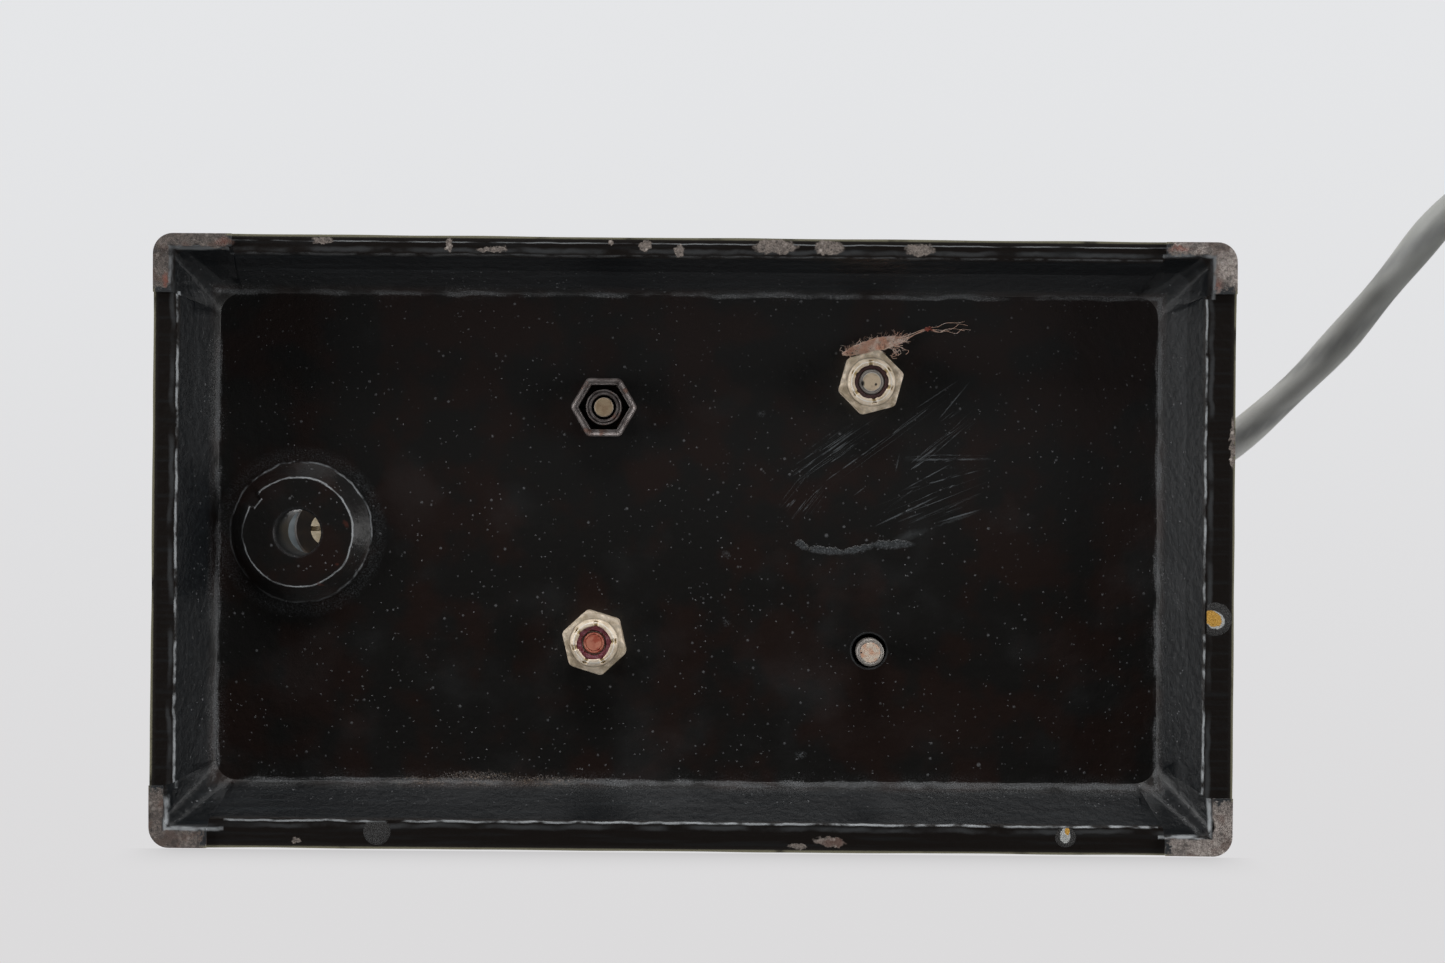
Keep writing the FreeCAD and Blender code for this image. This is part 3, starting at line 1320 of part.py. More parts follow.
def lamp_house():
    """A tube that turns in the cradle, with a tilted guide for the lens tube and two rings of vents."""
    tilt = FreeCAD.Rotation(FreeCAD.Vector(0, 1, 0), -90 - number("tube_tilt"))
    along_tube = ("boss_x", "boss_y", "window_z", tilt)
    inner = "house_wide - house_wall"
    shell = washer_ring("house_shell", inner, "house_wide", "house_high", "boss_x", "boss_y", "house_low")
    guide = cylinder("guide_outer", "tube_wide + turn_room + collar_wall", "collar_end", *along_tube)
    room = cylinder("guide_room", inner, "house_high", "boss_x", "boss_y", "house_low")
    way = cylinder("guide_bore", "tube_wide + turn_room", "collar_end", *along_tube)
    waste = [way]
    rows = (("upper", "house_high - vent_down - vent_high"), ("lower", "cradle_high + vent_up"))
    for ring, height in rows:
        for index in range(VENTS):
            angle = (index + 0.5) * 360 / VENTS
            slot = doc.addObject("Part::Box", f"vent_{ring}_{index}")
            bind(slot, Length="cradle_wide", Width="vent_wide", Height="vent_high")
            x = f"boss_x + vent_wide / 2 * sin({angle})"
            y = f"boss_y - vent_wide / 2 * cos({angle})"
            turn = FreeCAD.Rotation(FreeCAD.Vector(0, 0, 1), angle)
            waste.append(place(slot, x, y, f"house_low + {height}", turn))
    blank = fuse("house_blank", [shell, cut("guide", guide, room)])
    node("lamp_house", cut("house", blank, fuse("house_waste", waste)))
    bore = "tube_wide - tube_wall"
    profile = [
        (bore, "tube_start"),
        ("tube_wide", "tube_start"),
        ("tube_wide", "tube_end"),
        (bore, "tube_end"),
    ]
    node("lens_tube", turned("lens_tube_body", profile, *along_tube))
    back = "tube_end - lens_in"
    front = f"{back} + lens_thick"
    profile = [
        ("0", back),
        (bore, back),
        (bore, f"{back} + lens_edge"),
        ("tube_wide / 2", front),
        ("0", front),
    ]
    node("lamp_lens", turned("lens_body", profile, *along_tube))


def lamp_cap():
    """The lid of the lamp house, with a small turned finial."""
    skirt = "house_wide + cap_room"
    dome = "cap_skirt + cap_dome"
    profile = [
        (skirt, "0"),
        ("cap_wide", "0"),
        ("cap_wide", "cap_skirt + cap_edge"),
        ("cap_wide - cap_slope", "cap_skirt + cap_slope"),
        ("cap_crown", dome),
        ("finial_foot", f"{dome} + finial_foot_high"),
        ("finial_neck", f"{dome} + finial_neck_high"),
        ("finial_bead", f"{dome} + finial_bead_low"),
        ("finial_bead", f"{dome} + finial_bead_high"),
        ("finial_neck", f"{dome} + finial_high"),
        ("0", f"{dome} + finial_high"),
        ("0", "cap_skirt"),
        (skirt, "cap_skirt"),
    ]
    node("lamp_cap", turned("cap", profile, "boss_x", "boss_y", "house_low + house_high - cap_skirt"))


# ---------------------------------------------------------------- cable


def cable_entry():
    """Gland in the drum's wall, its clamping nut and the rubber strain relief."""
    profile = [
        ("cable_wide", "-spigot_long"),
        ("spigot_wide", "-spigot_long"),
        ("spigot_wide", "0"),
        ("gland_wide", "0"),
        ("gland_wide", "gland_long"),
        ("cable_wide", "gland_long"),
    ]
    node("cable_gland", turned("gland_piece", profile, "gland_face", "gland_y", "gland_z", "-X"))
    at_nut = ("gland_face - gland_long", "gland_y", "gland_z", "-X")
    prism = hexagon("gland_hexagon", "2 * gland_nut_wide", "gland_nut_long", *at_nut)
    hole = cylinder("gland_nut_hole", "cable_wide", "gland_nut_long", *at_nut)
    node("gland_nut", cut("gland_nut_piece", prism, hole))
    profile = [
        ("cable_wide", "0"),
        ("relief_wide", "0"),
        ("relief_tip", "relief_long"),
        ("cable_wide", "relief_long"),
    ]
    at_relief = ("gland_face - gland_long - gland_nut_long", "gland_y", "gland_z", "-X")
    node("strain_relief", turned("relief", profile, *at_relief))


def rounded_path(corners):
    """Straight runs joined by tangent arcs, and the radii of those arcs."""
    points = [FreeCAD.Vector(*corner) for corner in corners]
    edges, radii = [], []
    start = points[0]
    for before, here, after in zip(points, points[1:], points[2:]):
        back = (before - here).normalize()
        ahead = (after - here).normalize()
        reach = 0.45 * min(here.distanceToPoint(before), here.distanceToPoint(after))
        half_turn = (math.pi - back.getAngle(ahead)) / 2
        radius = reach / math.tan(half_turn)
        radii.append(radius)
        first = here + back * reach
        last = here + ahead * reach
        middle = here + (back + ahead).normalize() * (radius / math.cos(half_turn) - radius)
        edges.append(Part.LineSegment(start, first).toShape())
        edges.append(Part.Arc(first, middle, last).toShape())
        start = last
    edges.append(Part.LineSegment(start, points[-1]).toShape())
    return Part.Wire(edges), radii


def cable_tube():
    """The cable from the strain relief, over the left end of the base and down to its coil."""
    start = FreeCAD.Vector(number("relief_end"), number("gland_y"), number("gland_z"))
    wire, radii = rounded_path([tuple(start)] + CABLE_RUN)
    radius = number("cable_wide")
    profile = Part.Wire(Part.makeCircle(radius, start, FreeCAD.Vector(*CABLE_RUN[0]) - start))
    tube = doc.addObject("Part::Feature", "cable_run")
    tube.Shape = wire.makePipeShell([profile], True, True)
    ratio = tube.Shape.Volume / (math.pi * radius**2 * wire.Length)
    print("cable: radii", [round(bend, 1) for bend in radii])
    print(f"cable: length {wire.Length:.1f}, volume ratio {ratio:.6f}")
    if abs(ratio - 1) > VOLUME_SLACK:
        raise ValueError("the cable's tube isn't its section times its length")
    return tube


def coil_ring(name):
    """The outer shape of the coiled cable: a ring, narrower at its top, where fewer turns lie."""
    profile = [
        ("coil_inner", "coil_edge"),
        ("coil_inner + coil_edge", "0"),
        ("coil_outer - coil_edge", "0"),
        ("coil_outer", "coil_edge"),
        ("coil_outer", "coil_tall / 2"),
        ("coil_outer - coil_shoulder", "coil_tall"),
        ("coil_inner + coil_shoulder", "coil_tall"),
        ("coil_inner", "coil_tall / 2"),
    ]
    return turned(name, profile, "coil_x", "coil_y", "0")


def cable_and_plug():
    """The cable, its coil and tie, and the two-pin plug that lies beside the coil."""
    tail = cylinder("cable_tail", "cable_wide", "tail_long", "tail_x", "coil_y", "tail_z", "-Y")
    ends = group("cable_ends", [cable_tube(), tail])
    node("supply_cable", cut("cable_outside_coil", ends, coil_ring("coil_room")))
    at_tie = ("coil_x", "coil_y - coil_middle")
    strap_high = "coil_tall + tie_room + tie_thick"
    strap = block("tie_strap", "tie_wide", "tie_inner + 2 * tie_thick", strap_high, *at_tie, "0")
    hole_high = "coil_tall + tie_room - tie_thick"
    hole = block("tie_hole", "tie_wide", "tie_inner", hole_high, *at_tie, "tie_thick")
    node("cable_tie", cut("tie", strap, hole))
    notch = block("tie_notch", "tie_wide", "tie_inner", "tie_thick", *at_tie, "0")
    node("cable_coil", cut("coil", coil_ring("coil_bundle"), notch))
    # The plug's own Z runs along minus Y, from its cable end to its pins.
    half_x, half_z = "plug_body_wide / 2", "plug_body_tall / 2"
    at_plug = ("tail_x", "coil_y - tail_long", "tail_z", "-Y")
    body = padded("plug_shell", rectangle(half_x, half_z), "plug_body_long", *at_plug)
    dress(body, "Fillet", "plug_round", lambda edge: True)
    node("plug_body", body)
    pins = []
    for side in "-+":
        spot = (f"tail_x {side} plug_pin_apart / 2", "coil_y - tail_long - plug_body_long", "tail_z", "-Y")
        pins.append(cylinder(f"plug_pin_{len(pins)}", "plug_pin_wide", "plug_pin_long", *spot))
    node("plug_pins", group("pins", pins))


# ---------------------------------------------------------------- build, check, write

for build in (
    base_casting,
    under_base,
    bedplate,
    drum,
    glazing,
    magnet,
    pole_pieces,
    bridges,
    moving_coil,
    springs_and_zero,
    dial,
    clamp,
    terminals,
    lamp_arm,
    lamp_cradle,
    lampholder,
    lamp_house,
    lamp_cap,
    cable_entry,
    cable_and_plug,
):
    build()
doc.recompute()

for piece in doc.Objects:
    if "Invalid" in piece.State or "Error" in piece.State:
        raise ValueError(f"{piece.Label} failed: {piece.State}")
for label, piece in nodes.items():
    if piece.Shape.isNull() or not piece.Shape.isValid() or not piece.Shape.Solids:
        raise ValueError(f"{label} has no valid shape")

os.makedirs("parts", exist_ok=True)
for label, piece in nodes.items():
    piece.Shape.exportStep(f"parts/{label}.step")
    box = piece.Shape.BoundBox
    corners = [round(value, 1) for value in (box.XMin, box.XMax, box.YMin, box.YMax, box.ZMin, box.ZMax)]
    print(f"{label}: {len(piece.Shape.Solids)} solids, {piece.Shape.Volume:.1f} mm3, {corners}")
print(len(nodes), "nodes")
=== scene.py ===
"""Bench galvanometer on a cast-iron base: the looks of every piece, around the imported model.

Lengths in this file are millimetres, and finished() turns each mesh to metres. +Z is up and the feet
stand on z = 0; +X points to the bored boss and the dial lamp, +Y to the back.
"""

import functools
import math
import random
import types

import bmesh
import bpy
from bmesh.types import BMEdge, BMVert
from mathutils import Matrix, Vector, noise


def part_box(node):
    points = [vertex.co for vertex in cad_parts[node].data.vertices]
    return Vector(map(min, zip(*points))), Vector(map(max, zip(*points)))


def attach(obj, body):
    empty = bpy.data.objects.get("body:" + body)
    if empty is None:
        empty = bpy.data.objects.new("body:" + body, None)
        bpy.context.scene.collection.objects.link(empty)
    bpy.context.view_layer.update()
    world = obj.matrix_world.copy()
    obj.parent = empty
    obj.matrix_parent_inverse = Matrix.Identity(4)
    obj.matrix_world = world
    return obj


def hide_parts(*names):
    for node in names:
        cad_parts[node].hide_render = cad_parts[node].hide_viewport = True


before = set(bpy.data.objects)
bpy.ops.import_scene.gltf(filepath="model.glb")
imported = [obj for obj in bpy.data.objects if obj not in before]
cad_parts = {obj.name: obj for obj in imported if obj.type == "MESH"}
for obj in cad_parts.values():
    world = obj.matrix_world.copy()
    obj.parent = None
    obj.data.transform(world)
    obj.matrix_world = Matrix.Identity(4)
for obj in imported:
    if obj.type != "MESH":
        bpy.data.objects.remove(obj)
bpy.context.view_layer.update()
MM = 0.001
TURN = 2 * math.pi
UP = Vector((0, 0, 1))
# Below this height a casting stays level, so that its feet and its rim stand true.
LEVEL_BELOW = 1.6
# From this many degrees up, two faces meet in an edge that can be rounded.
FOLDED = 30
# Chance starts from the same number in every run, for random draws and for noise fields alike.
CHANCE = 4
random.seed(CHANCE)
noise.seed_set(CHANCE)


# ------------------------------------------------------------------ camera, straight under the base

CAMERA_AT = (-5.4, 11.9, -601)
CAMERA_ROLL = -0.5
LENS = 80
SENSOR = 36

camera_data = bpy.data.cameras.new("under_camera")
camera_data.lens = LENS
camera_data.sensor_width = SENSOR
camera = bpy.data.objects.new("under_camera", camera_data)
bpy.context.scene.collection.objects.link(camera)
camera.location = Vector(CAMERA_AT) * MM
camera.rotation_euler = (0, math.pi, math.radians(CAMERA_ROLL))
bpy.context.scene.camera = camera


# ------------------------------------------------------------------ shader helpers


def linear(code):
    """An sRGB hex colour as the linear colour that the shaders take."""
    levels = [int(code[first : first + 2], 16) / 255 for first in (1, 3, 5)]
    return [level / 12.92 if level <= 0.04045 else ((level + 0.055) / 1.055) ** 2.4 for level in levels] + [1]


def plug(node, values):
    """Fills a node's inputs: a socket is linked, a hex colour turned to linear, the rest set."""
    for name, value in values.items():
        if isinstance(value, bpy.types.NodeSocket):
            node.id_data.links.new(value, node.inputs[name])
        else:
            node.inputs[name].default_value = linear(value) if isinstance(value, str) else value


def add(tree, kind, values=None, out=0, **settings):
    """Adds a shader node with its settings and inputs, and returns one of its outputs."""
    node = tree.nodes.new("ShaderNode" + kind)
    for name, value in settings.items():
        setattr(node, name, value)
    plug(node, values or {})
    return node.outputs[out]


def new_finish(name):
    """An empty finish: the material, a way to add nodes, its shader, and the point in millimetres."""
    material = bpy.data.materials.new(name)
    material.use_nodes = True
    tree = material.node_tree
    node = functools.partial(add, tree)
    place = node("TexCoord", out="Object")
    point = node("VectorMath", {0: place, "Scale": 1 / MM}, operation="SCALE")
    return material, node, tree.nodes["Principled BSDF"], point


def blotches(node, point, size, low=0.4, high=0.6, detail=4):
    """Soft patches about size millimetres across: 0 between them and 1 on them."""
    patch = node("TexNoise", {"Vector": point, "Scale": 1 / size, "Detail": detail})
    return node("MapRange", {0: patch, 1: low, 2: high}, interpolation_type="SMOOTHSTEP")


def flecks(node, point, spacing, radius, share=1.0):
    """Round specks on about that share of a grid of cells spacing millimetres apart."""
    cells = {"Vector": point, "Scale": 1 / spacing}
    away = node("TexVoronoi", cells, out="Distance")
    pick = node("TexVoronoi", cells, out="Color")
    dot = node("MapRange", {0: away, 1: radius / spacing, 2: 0.4 * radius / spacing})
    kept = node("Math", {0: pick, 1: share}, operation="LESS_THAN")
    return node("Math", {0: dot, 1: kept}, operation="MULTIPLY")


def marks(node, point, places, fray=0.0, crisp=0.2):
    """1 inside any ellipse (x, y, half length, half width, angle) seen along Z, with frayed edges."""
    if fray:
        torn = node("TexNoise", {"Vector": point, "Scale": 1.1, "Detail": 3}, out="Color")
        torn = node("VectorMath", {0: torn, 1: (0.5, 0.5, 0.5)}, operation="SUBTRACT")
        torn = node("VectorMath", {0: torn, "Scale": 2 * fray}, operation="SCALE")
        point = node("VectorMath", {0: point, 1: torn}, operation="ADD")
    total = 0.0
    for x, y, long, wide, angle in places:
        turned = {"Location": (x, y, 0), "Rotation": (0, 0, math.radians(angle)), "Scale": (long, wide, 400)}
        spot = node("Mapping", {"Vector": point, **turned}, vector_type="TEXTURE")
        inside = node("TexGradient", {"Vector": spot}, out="Fac", gradient_type="SPHERICAL")
        total = node("Math", {0: inside, 1: total}, operation="MAXIMUM")
    return node("MapRange", {0: total, 1: 0.0, 2: crisp})


def wobbly(node, point, size, amount):
    """A smooth random length, up to amount either way, that changes every size millimetres."""
    field = node("TexNoise", {"Vector": point, "Scale": 1 / size, "Detail": 3})
    return node("MapRange", {0: field, 1: 0.25, 2: 0.75, 3: -amount, 4: amount}, clamp=False)


def hairline(node, length, width):
    """1 where a length is within width of nought, fading out just beyond."""
    size = node("Math", {0: length}, operation="ABSOLUTE")
    return node("MapRange", {0: size, 1: width * 1.7, 2: width * 0.5})


def plus(node, *lengths):
    """The sum of several lengths."""
    return functools.reduce(lambda a, b: node("Math", {0: a, 1: b}), lengths)


def outside_box(node, point, low, high):
    """How far a point lies outside a rectangle seen along Z; inside it the length is negative."""
    middle = ((low[0] + high[0]) / 2, (low[1] + high[1]) / 2, 0)
    half = ((high[0] - low[0]) / 2, (high[1] - low[1]) / 2, 900)
    away = node("VectorMath", {0: point, 1: middle}, operation="SUBTRACT")
    away = node("VectorMath", {0: away}, operation="ABSOLUTE")
    away = node("VectorMath", {0: away, 1: half}, operation="SUBTRACT")
    x, y = (node("SeparateXYZ", {0: away}, out=axis) for axis in range(2))
    return node("Math", {0: x, 1: y}, operation="MAXIMUM")


def off_axis(node, point, centre, along=(0, 0, 1)):
    """How far a point lies from a line through centre, and how far along that line."""
    away = node("VectorMath", {0: point, 1: centre}, operation="SUBTRACT")
    depth = node("VectorMath", {0: away, 1: along}, out="Value", operation="DOT_PRODUCT")
    across = node("VectorMath", {0: away, 1: along}, operation="CROSS_PRODUCT")
    return node("VectorMath", {0: across}, out="Value", operation="LENGTH"), depth


def layered(node, base, *layers):
    """A colour with others laid over it in turn, each through its own mask."""
    for mask, colour in layers:
        base = node("Mix", {0: mask, 6: base, 7: colour}, 2, data_type="RGBA")
    return base


def either(node, *masks):
    """The strongest of several masks."""
    return functools.reduce(lambda a, b: node("Math", {0: a, 1: b}, operation="MAXIMUM"), masks)


def both(node, *masks):
    """Several masks at once."""
    return functools.reduce(lambda a, b: node("Math", {0: a, 1: b}, operation="MULTIPLY"), masks)


def but_not(node, mask, *gaps):
    """A mask with others cut out of it."""
    for gap in gaps:
        mask = both(node, mask, node("Math", {0: 1.0, 1: gap}, operation="SUBTRACT"))
    return mask


def grained(node, point, scale, depth, rough, detail=6, coarse=0.7, strength=1.0):
    """A fine grain: its noise, the roughness that it varies, and its relief, depth millimetres deep."""
    fine = node("TexNoise", {"Vector": point, "Scale": scale, "Detail": detail, "Roughness": coarse})
    relief = node("Bump", {"Height": fine, "Distance": depth * MM, "Strength": strength})
    return fine, node("MapRange", {0: fine, 3: rough[0], 4: rough[1]}), relief


# ------------------------------------------------------------------ mesh helpers


def box_of(name):
    """The lowest and highest corners of a CAD node, in millimetres."""
    low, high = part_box(name)
    return low / MM, high / MM


def only(kind, parts):
    """The vertices, edges or faces among the parts that an operator returns."""
    return [part for part in parts if isinstance(part, kind)]


def linked(verts):
    """The edges that meet any of the vertices, each of them once and in a fixed order."""
    return list(dict.fromkeys(edge for vert in verts for edge in vert.link_edges))


def from_axis(vert, place):
    """The level line to a point from an upright axis at place, and its angle in degrees."""
    out = vert.co - Vector((*place, vert.co.z))
    return out, math.degrees(math.atan2(out.y, out.x))


def spun(bm, profile, place, steps, closed=False):
    """Turns a profile of (radius, height) points full circle about an upright line at a place."""
    centre = Vector((*place, 0))
    old = set(bm.verts)
    start = [bm.verts.new(centre + Vector((-radius, 0, height))) for radius, height in profile]
    pairs = list(zip(start, start[1:] + start[:1])) if closed else list(zip(start, start[1:]))
    edges = [bm.edges.new(pair) for pair in pairs]
    about = {"cent": centre, "axis": UP, "angle": TURN, "steps": steps, "use_merge": True}
    bmesh.ops.spin(bm, geom=start + edges, **about)
    return [vert for vert in bm.verts if vert not in old]


def softened(bm, width, chosen, segments=2):
    """Rounds those of the folded edges whose middles are chosen."""
    folds = [edge for edge in bm.edges if edge.calc_face_angle(0) > math.radians(FOLDED)]
    folds = [edge for edge in folds if chosen((edge.verts[0].co + edge.verts[1].co) / 2)]
    rounding = {"offset": width, "segments": segments, "profile": 0.5, "material": -1}
    bmesh.ops.bevel(bm, geom=folds, offset_type="OFFSET", affect="EDGES", clamp_overlap=True, **rounding)


def sliced(bm, places, normal):
    """Cuts the whole mesh, without opening it, at each of the places along the normal."""
    for place in places:
        everything = bm.verts[:] + bm.edges[:] + bm.faces[:]
        bmesh.ops.bisect_plane(bm, geom=everything, plane_co=Vector(normal) * place, plane_no=normal)


def uneven(bm, amount, size, keep_z=None):
    """Moves the points by a smooth random field, as on a casting made by hand."""
    for vert in bm.verts:
        shift = noise.noise_vector(vert.co / size) * amount
        if keep_z is not None and vert.co.z > keep_z:
            shift = Vector()
        if vert.co.z < LEVEL_BELOW:
            shift.z = 0
        vert.co += shift


def wall_to(bm, ring, spots):
    """Extrudes a closed ring of points and moves each new point to its own spot."""
    edges = [bm.edges.get(pair) for pair in zip(ring, ring[1:] + ring[:1])]
    order = {tuple(vert.co): index for index, vert in enumerate(ring)}
    fresh = only(BMVert, bmesh.ops.extrude_edge_only(bm, edges=edges)["geom"])
    fresh.sort(key=lambda vert: order[tuple(vert.co)])
    for vert, spot in zip(fresh, spots):
        vert.co = spot
    return fresh


def finished(name, bm, materials, body, stands_for=(), angle=35):
    """Closes a mesh, turns it to metres, smooths it by angle and hangs it on its body."""
    bmesh.ops.remove_doubles(bm, verts=bm.verts, dist=0.0005)
    bmesh.ops.recalc_face_normals(bm, faces=bm.faces)
    bmesh.ops.scale(bm, vec=(MM, MM, MM), verts=bm.verts)
    mesh = bpy.data.meshes.new(name)
    bm.to_mesh(mesh)
    bm.free()
    mesh.shade_smooth()
    mesh.set_sharp_from_angle(angle=math.radians(angle))
    return placed(name, mesh, materials, body, stands_for)


def placed(name, data, materials, body, stands_for=()):
    """Links a mesh or curve that is already in metres, with its finish, body and CAD nodes."""
    for material in materials:
        data.materials.append(material)
    piece = bpy.data.objects.new(name, data)
    bpy.context.scene.collection.objects.link(piece)
    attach(piece, body)
    if stands_for:
        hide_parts(*stands_for)
    return piece


# ------------------------------------------------------------------ supply cable

CABLE_WIDE = 6.5
CABLE_TWIST = 27.0
CABLE_LOBE = 0.13
CABLE_PHASE = math.pi / 2
CABLE_FINE = 6
CABLE_EXIT = (-75.6, 7.0, 40.0)
CABLE_RUN = [
    CABLE_EXIT,
    (-87.2, 9.2, 40.0),
    (-98.1, 14.0, 38.6),
    (-107.8, 21.4, 35.6),
    (-123.6, 37.2, 28.4),
    (-135.2, 53.6, 17.2),
    (-142.6, 64.6, 9.0),
    (-152.2, 72.6, 4.4),
    (-163.6, 77.8, 3.25),
]
COIL_AT = (-193.0, 48.0)
COIL_TURNS = [(42.5, 3.25), (36.0, 3.25), (29.5, 3.25), (32.75, 8.9), (36.0, 14.5), (39.25, 8.9)]
COIL_POINTS = 20
COIL_START = 45
COIL_END = 180
COIL_CROSS = 60
TIE_THICK = 0.8
TIE_SPREAD = 28
TAPE_THICK = 0.5
TAPE_INSET = 0.5
# The middle of the coil's turns where the tie goes round them: its radius and its height.
BUNDLE = (36.0, 8.0)
PLUG_Y = 11.0
PLUG_Z = 8.5
PLUG_SIDES = 72
PLUG_SCREW_Y = -4.4
# The ribs at the plug's waist: where they begin, how many steps up and down they take and how long
# each step is, the half width and half height over them, and how far their grooves are sunk.
PLUG_RIBS_FROM = 12.4
PLUG_RIB_STEPS = 17
PLUG_RIB_STEP = 0.65
PLUG_RIB_HALF = (10.4, 8.0)
PLUG_RIB_SUNK = (0.55, 0.35)
# Sections of the plug's body: the distance from its pins, half width, half height, and how square
# it is, from 2 for an ellipse up.
PLUG_FACE = [
    (0.0, 11.7, 7.7, 5.0),
    (0.35, 12.2, 8.2, 5.0),
    (1.1, 12.5, 8.5, 5.0),
    (9.0, 12.5, 8.5, 5.0),
    (10.6, 11.8, 8.35, 5.0),
]
PLUG_NECK = [
    (23.6, 10.8, 8.2, 3.6),
    (25.4, 10.9, 8.2, 3.2),
    (26.8, 9.8, 7.7, 2.8),
    (28.4, 7.4, 6.6, 2.3),
    (30.2, 5.9, 5.7, 2.0),
    (33.0, 5.2, 5.2, 2.0),
]


def coil_point(sweep):
    """A point of the wound cable after sweep degrees: each turn crosses to the next one's place."""
    turn = min(int(sweep // 360), len(COIL_TURNS) - 1)
    later = min(turn + 1, len(COIL_TURNS) - 1)
    share = max(0.0, (sweep - 360 * turn - 360 + COIL_CROSS) / COIL_CROSS)
    share = share * share * (3 - 2 * share)
    here, there = COIL_TURNS[turn], COIL_TURNS[later]
    radius, z = (a + (b - a) * share for a, b in zip(here, there))
    angle = math.radians(COIL_START + sweep)
    from_tie = math.degrees(math.acos(max(-1, min(1, math.cos(angle + math.pi / 2)))))
    z += TIE_THICK * math.exp(-((from_tie / TIE_SPREAD) ** 2))
    return COIL_AT[0] + radius * math.cos(angle), COIL_AT[1] + radius * math.sin(angle), z


def cable_points():
    """The whole route: the run from the case, the coil's turns and the tail to the plug."""
    whole = 360 * (len(COIL_TURNS) - 1) + COIL_END - COIL_START
    count = round(whole * COIL_POINTS / 360)
    coil = [coil_point(whole * step / count) for step in range(1, count + 1)]
    x, y, z = coil[-1]
    tail = [(x, y - (y - PLUG_Y) * share, z + (PLUG_Z - z) * share) for share in (0.35, 0.7, 1)]
    return CABLE_RUN + coil + tail


def cable_material():
    """Grey plastic sheath over two twisted cores: smooth, a little dusty, and darker along the twist and
    towards its low end, both as painted shade.
    """
    material, node, shader, point = new_finish("grey_pvc_sheath")
    around = node("Attribute", {}, out="Fac", attribute_name="twist")
    valley = node("MapRange", {0: around, 1: 0.15, 2: 0.95}, interpolation_type="SMOOTHSTEP")
    grime = blotches(node, point, 9, 0.35, 0.7)
    height = node("SeparateXYZ", {0: point}, out=2)
    # Painted shade: the sheath darkens towards its low end, and more where the grime lies.
    low_shade = node("MapRange", {0: height, 1: 36.0, 2: 12.0})
    sheath = layered(node, "#d0d0cd", (grime, "#c0c0bc"), (low_shade, "#a9aaa7"))
    sheath = layered(node, sheath, (both(node, low_shade, grime, 0.5), "#979894"))
    # Painted shade in the valleys between the twisted cores.
    sheath = layered(node, sheath, (both(node, valley, 0.7), "#8a8b8b"))
    _, rough, relief = grained(node, point, 2.5, 0.05, (0.38, 0.6), 5, 0.5, 0.5)
    plug(shader, {"Base Color": sheath, "Roughness": rough, "Normal": relief})
    return material


def woven_tape():
    """Cotton tape: a plain weave of half-millimetre threads, cream and a little soiled."""
    material, node, shader, point = new_finish("woven_cotton_tape")
    x, y, z = (node("SeparateXYZ", {0: point}, out=axis) for axis in range(3))
    warp = node("TexWave", {"Vector": node("CombineXYZ", {0: x}), "Scale": 0.32}, out="Fac")
    weft = node("TexWave", {"Vector": node("CombineXYZ", {0: plus(node, y, z)}), "Scale": 0.32}, out="Fac")
    weave = both(node, warp, weft)
    soil = blotches(node, point, 5, 0.4, 0.7)
    colour = layered(node, "#a89a7c", (weave, "#d9cfb8"), (both(node, soil, 0.4), "#8a7a5f"))
    relief = node("Bump", {"Height": weave, "Distance": 0.2 * MM})
    plug(shader, {"Base Color": colour, "Roughness": 0.9, "Normal": relief, "Sheen Weight": 0.3})
    return material


def from_bundle(vert):
    """The way out of the bundle of turns that the tie holds."""
    return Vector((0, vert.co.y - COIL_AT[1] + BUNDLE[0], vert.co.z - BUNDLE[1])).normalized()


def tape_tie():
    """A strip of tape pulled tight round the coil's turns, its loose end lapped over the inside."""
    (low_x, _, _), (high_x, _, _) = box_of("cable_tie")
    bm = bmesh.new()
    around = {"segments": 28, "radius": CABLE_WIDE / 2 + 0.1}
    for radius, z in COIL_TURNS:
        for x in (low_x + TAPE_INSET, high_x - TAPE_INSET):
            place = Matrix.Translation((x, COIL_AT[1] - radius, z + TIE_THICK))
            place = place @ Matrix.Rotation(math.pi / 2, 4, "Y")
            bmesh.ops.create_circle(bm, matrix=place, **around)
    hull = bmesh.ops.convex_hull(bm, input=bm.verts)
    bmesh.ops.delete(bm, geom=only(BMVert, hull["geom_interior"]), context="VERTS")
    bm.normal_update()
    ends = [face for face in bm.faces if abs(face.normal.x) > 0.9]
    bmesh.ops.delete(bm, geom=ends, context="FACES")
    bmesh.ops.join_triangles(bm, faces=bm.faces, angle_face_threshold=0.2, angle_shape_threshold=3)
    crosswise = [edge for edge in bm.edges if abs(edge.verts[0].co.x - edge.verts[1].co.x) > 1]
    bmesh.ops.subdivide_edges(bm, edges=crosswise, cuts=5, use_grid_fill=True)
    lapped = []
    for face in bm.faces:
        centre = face.calc_center_median()
        if centre.y > COIL_AT[1] - BUNDLE[0] and centre.z > 5:
            lapped.append(face)
    bm.normal_update()
    for vert in only(BMVert, bmesh.ops.duplicate(bm, geom=lapped)["geom"]):
        vert.co += from_bundle(vert) * (TAPE_THICK + 0.1)
    middle = (low_x + high_x) / 2
    for vert in bm.verts:
        frayed = noise.noise(vert.co / 1.3) * 0.25
        narrowed = 1 + 0.12 * noise.noise(vert.co / 4.0)
        vert.co.x = middle + (vert.co.x - middle) * narrowed + frayed * 0.5
        vert.co += from_bundle(vert) * abs(frayed)
    bmesh.ops.solidify(bm, geom=bm.faces, thickness=-TAPE_THICK)
    return finished("tape_tie", bm, [woven_tape()], "case", ["cable_tie"], 50)


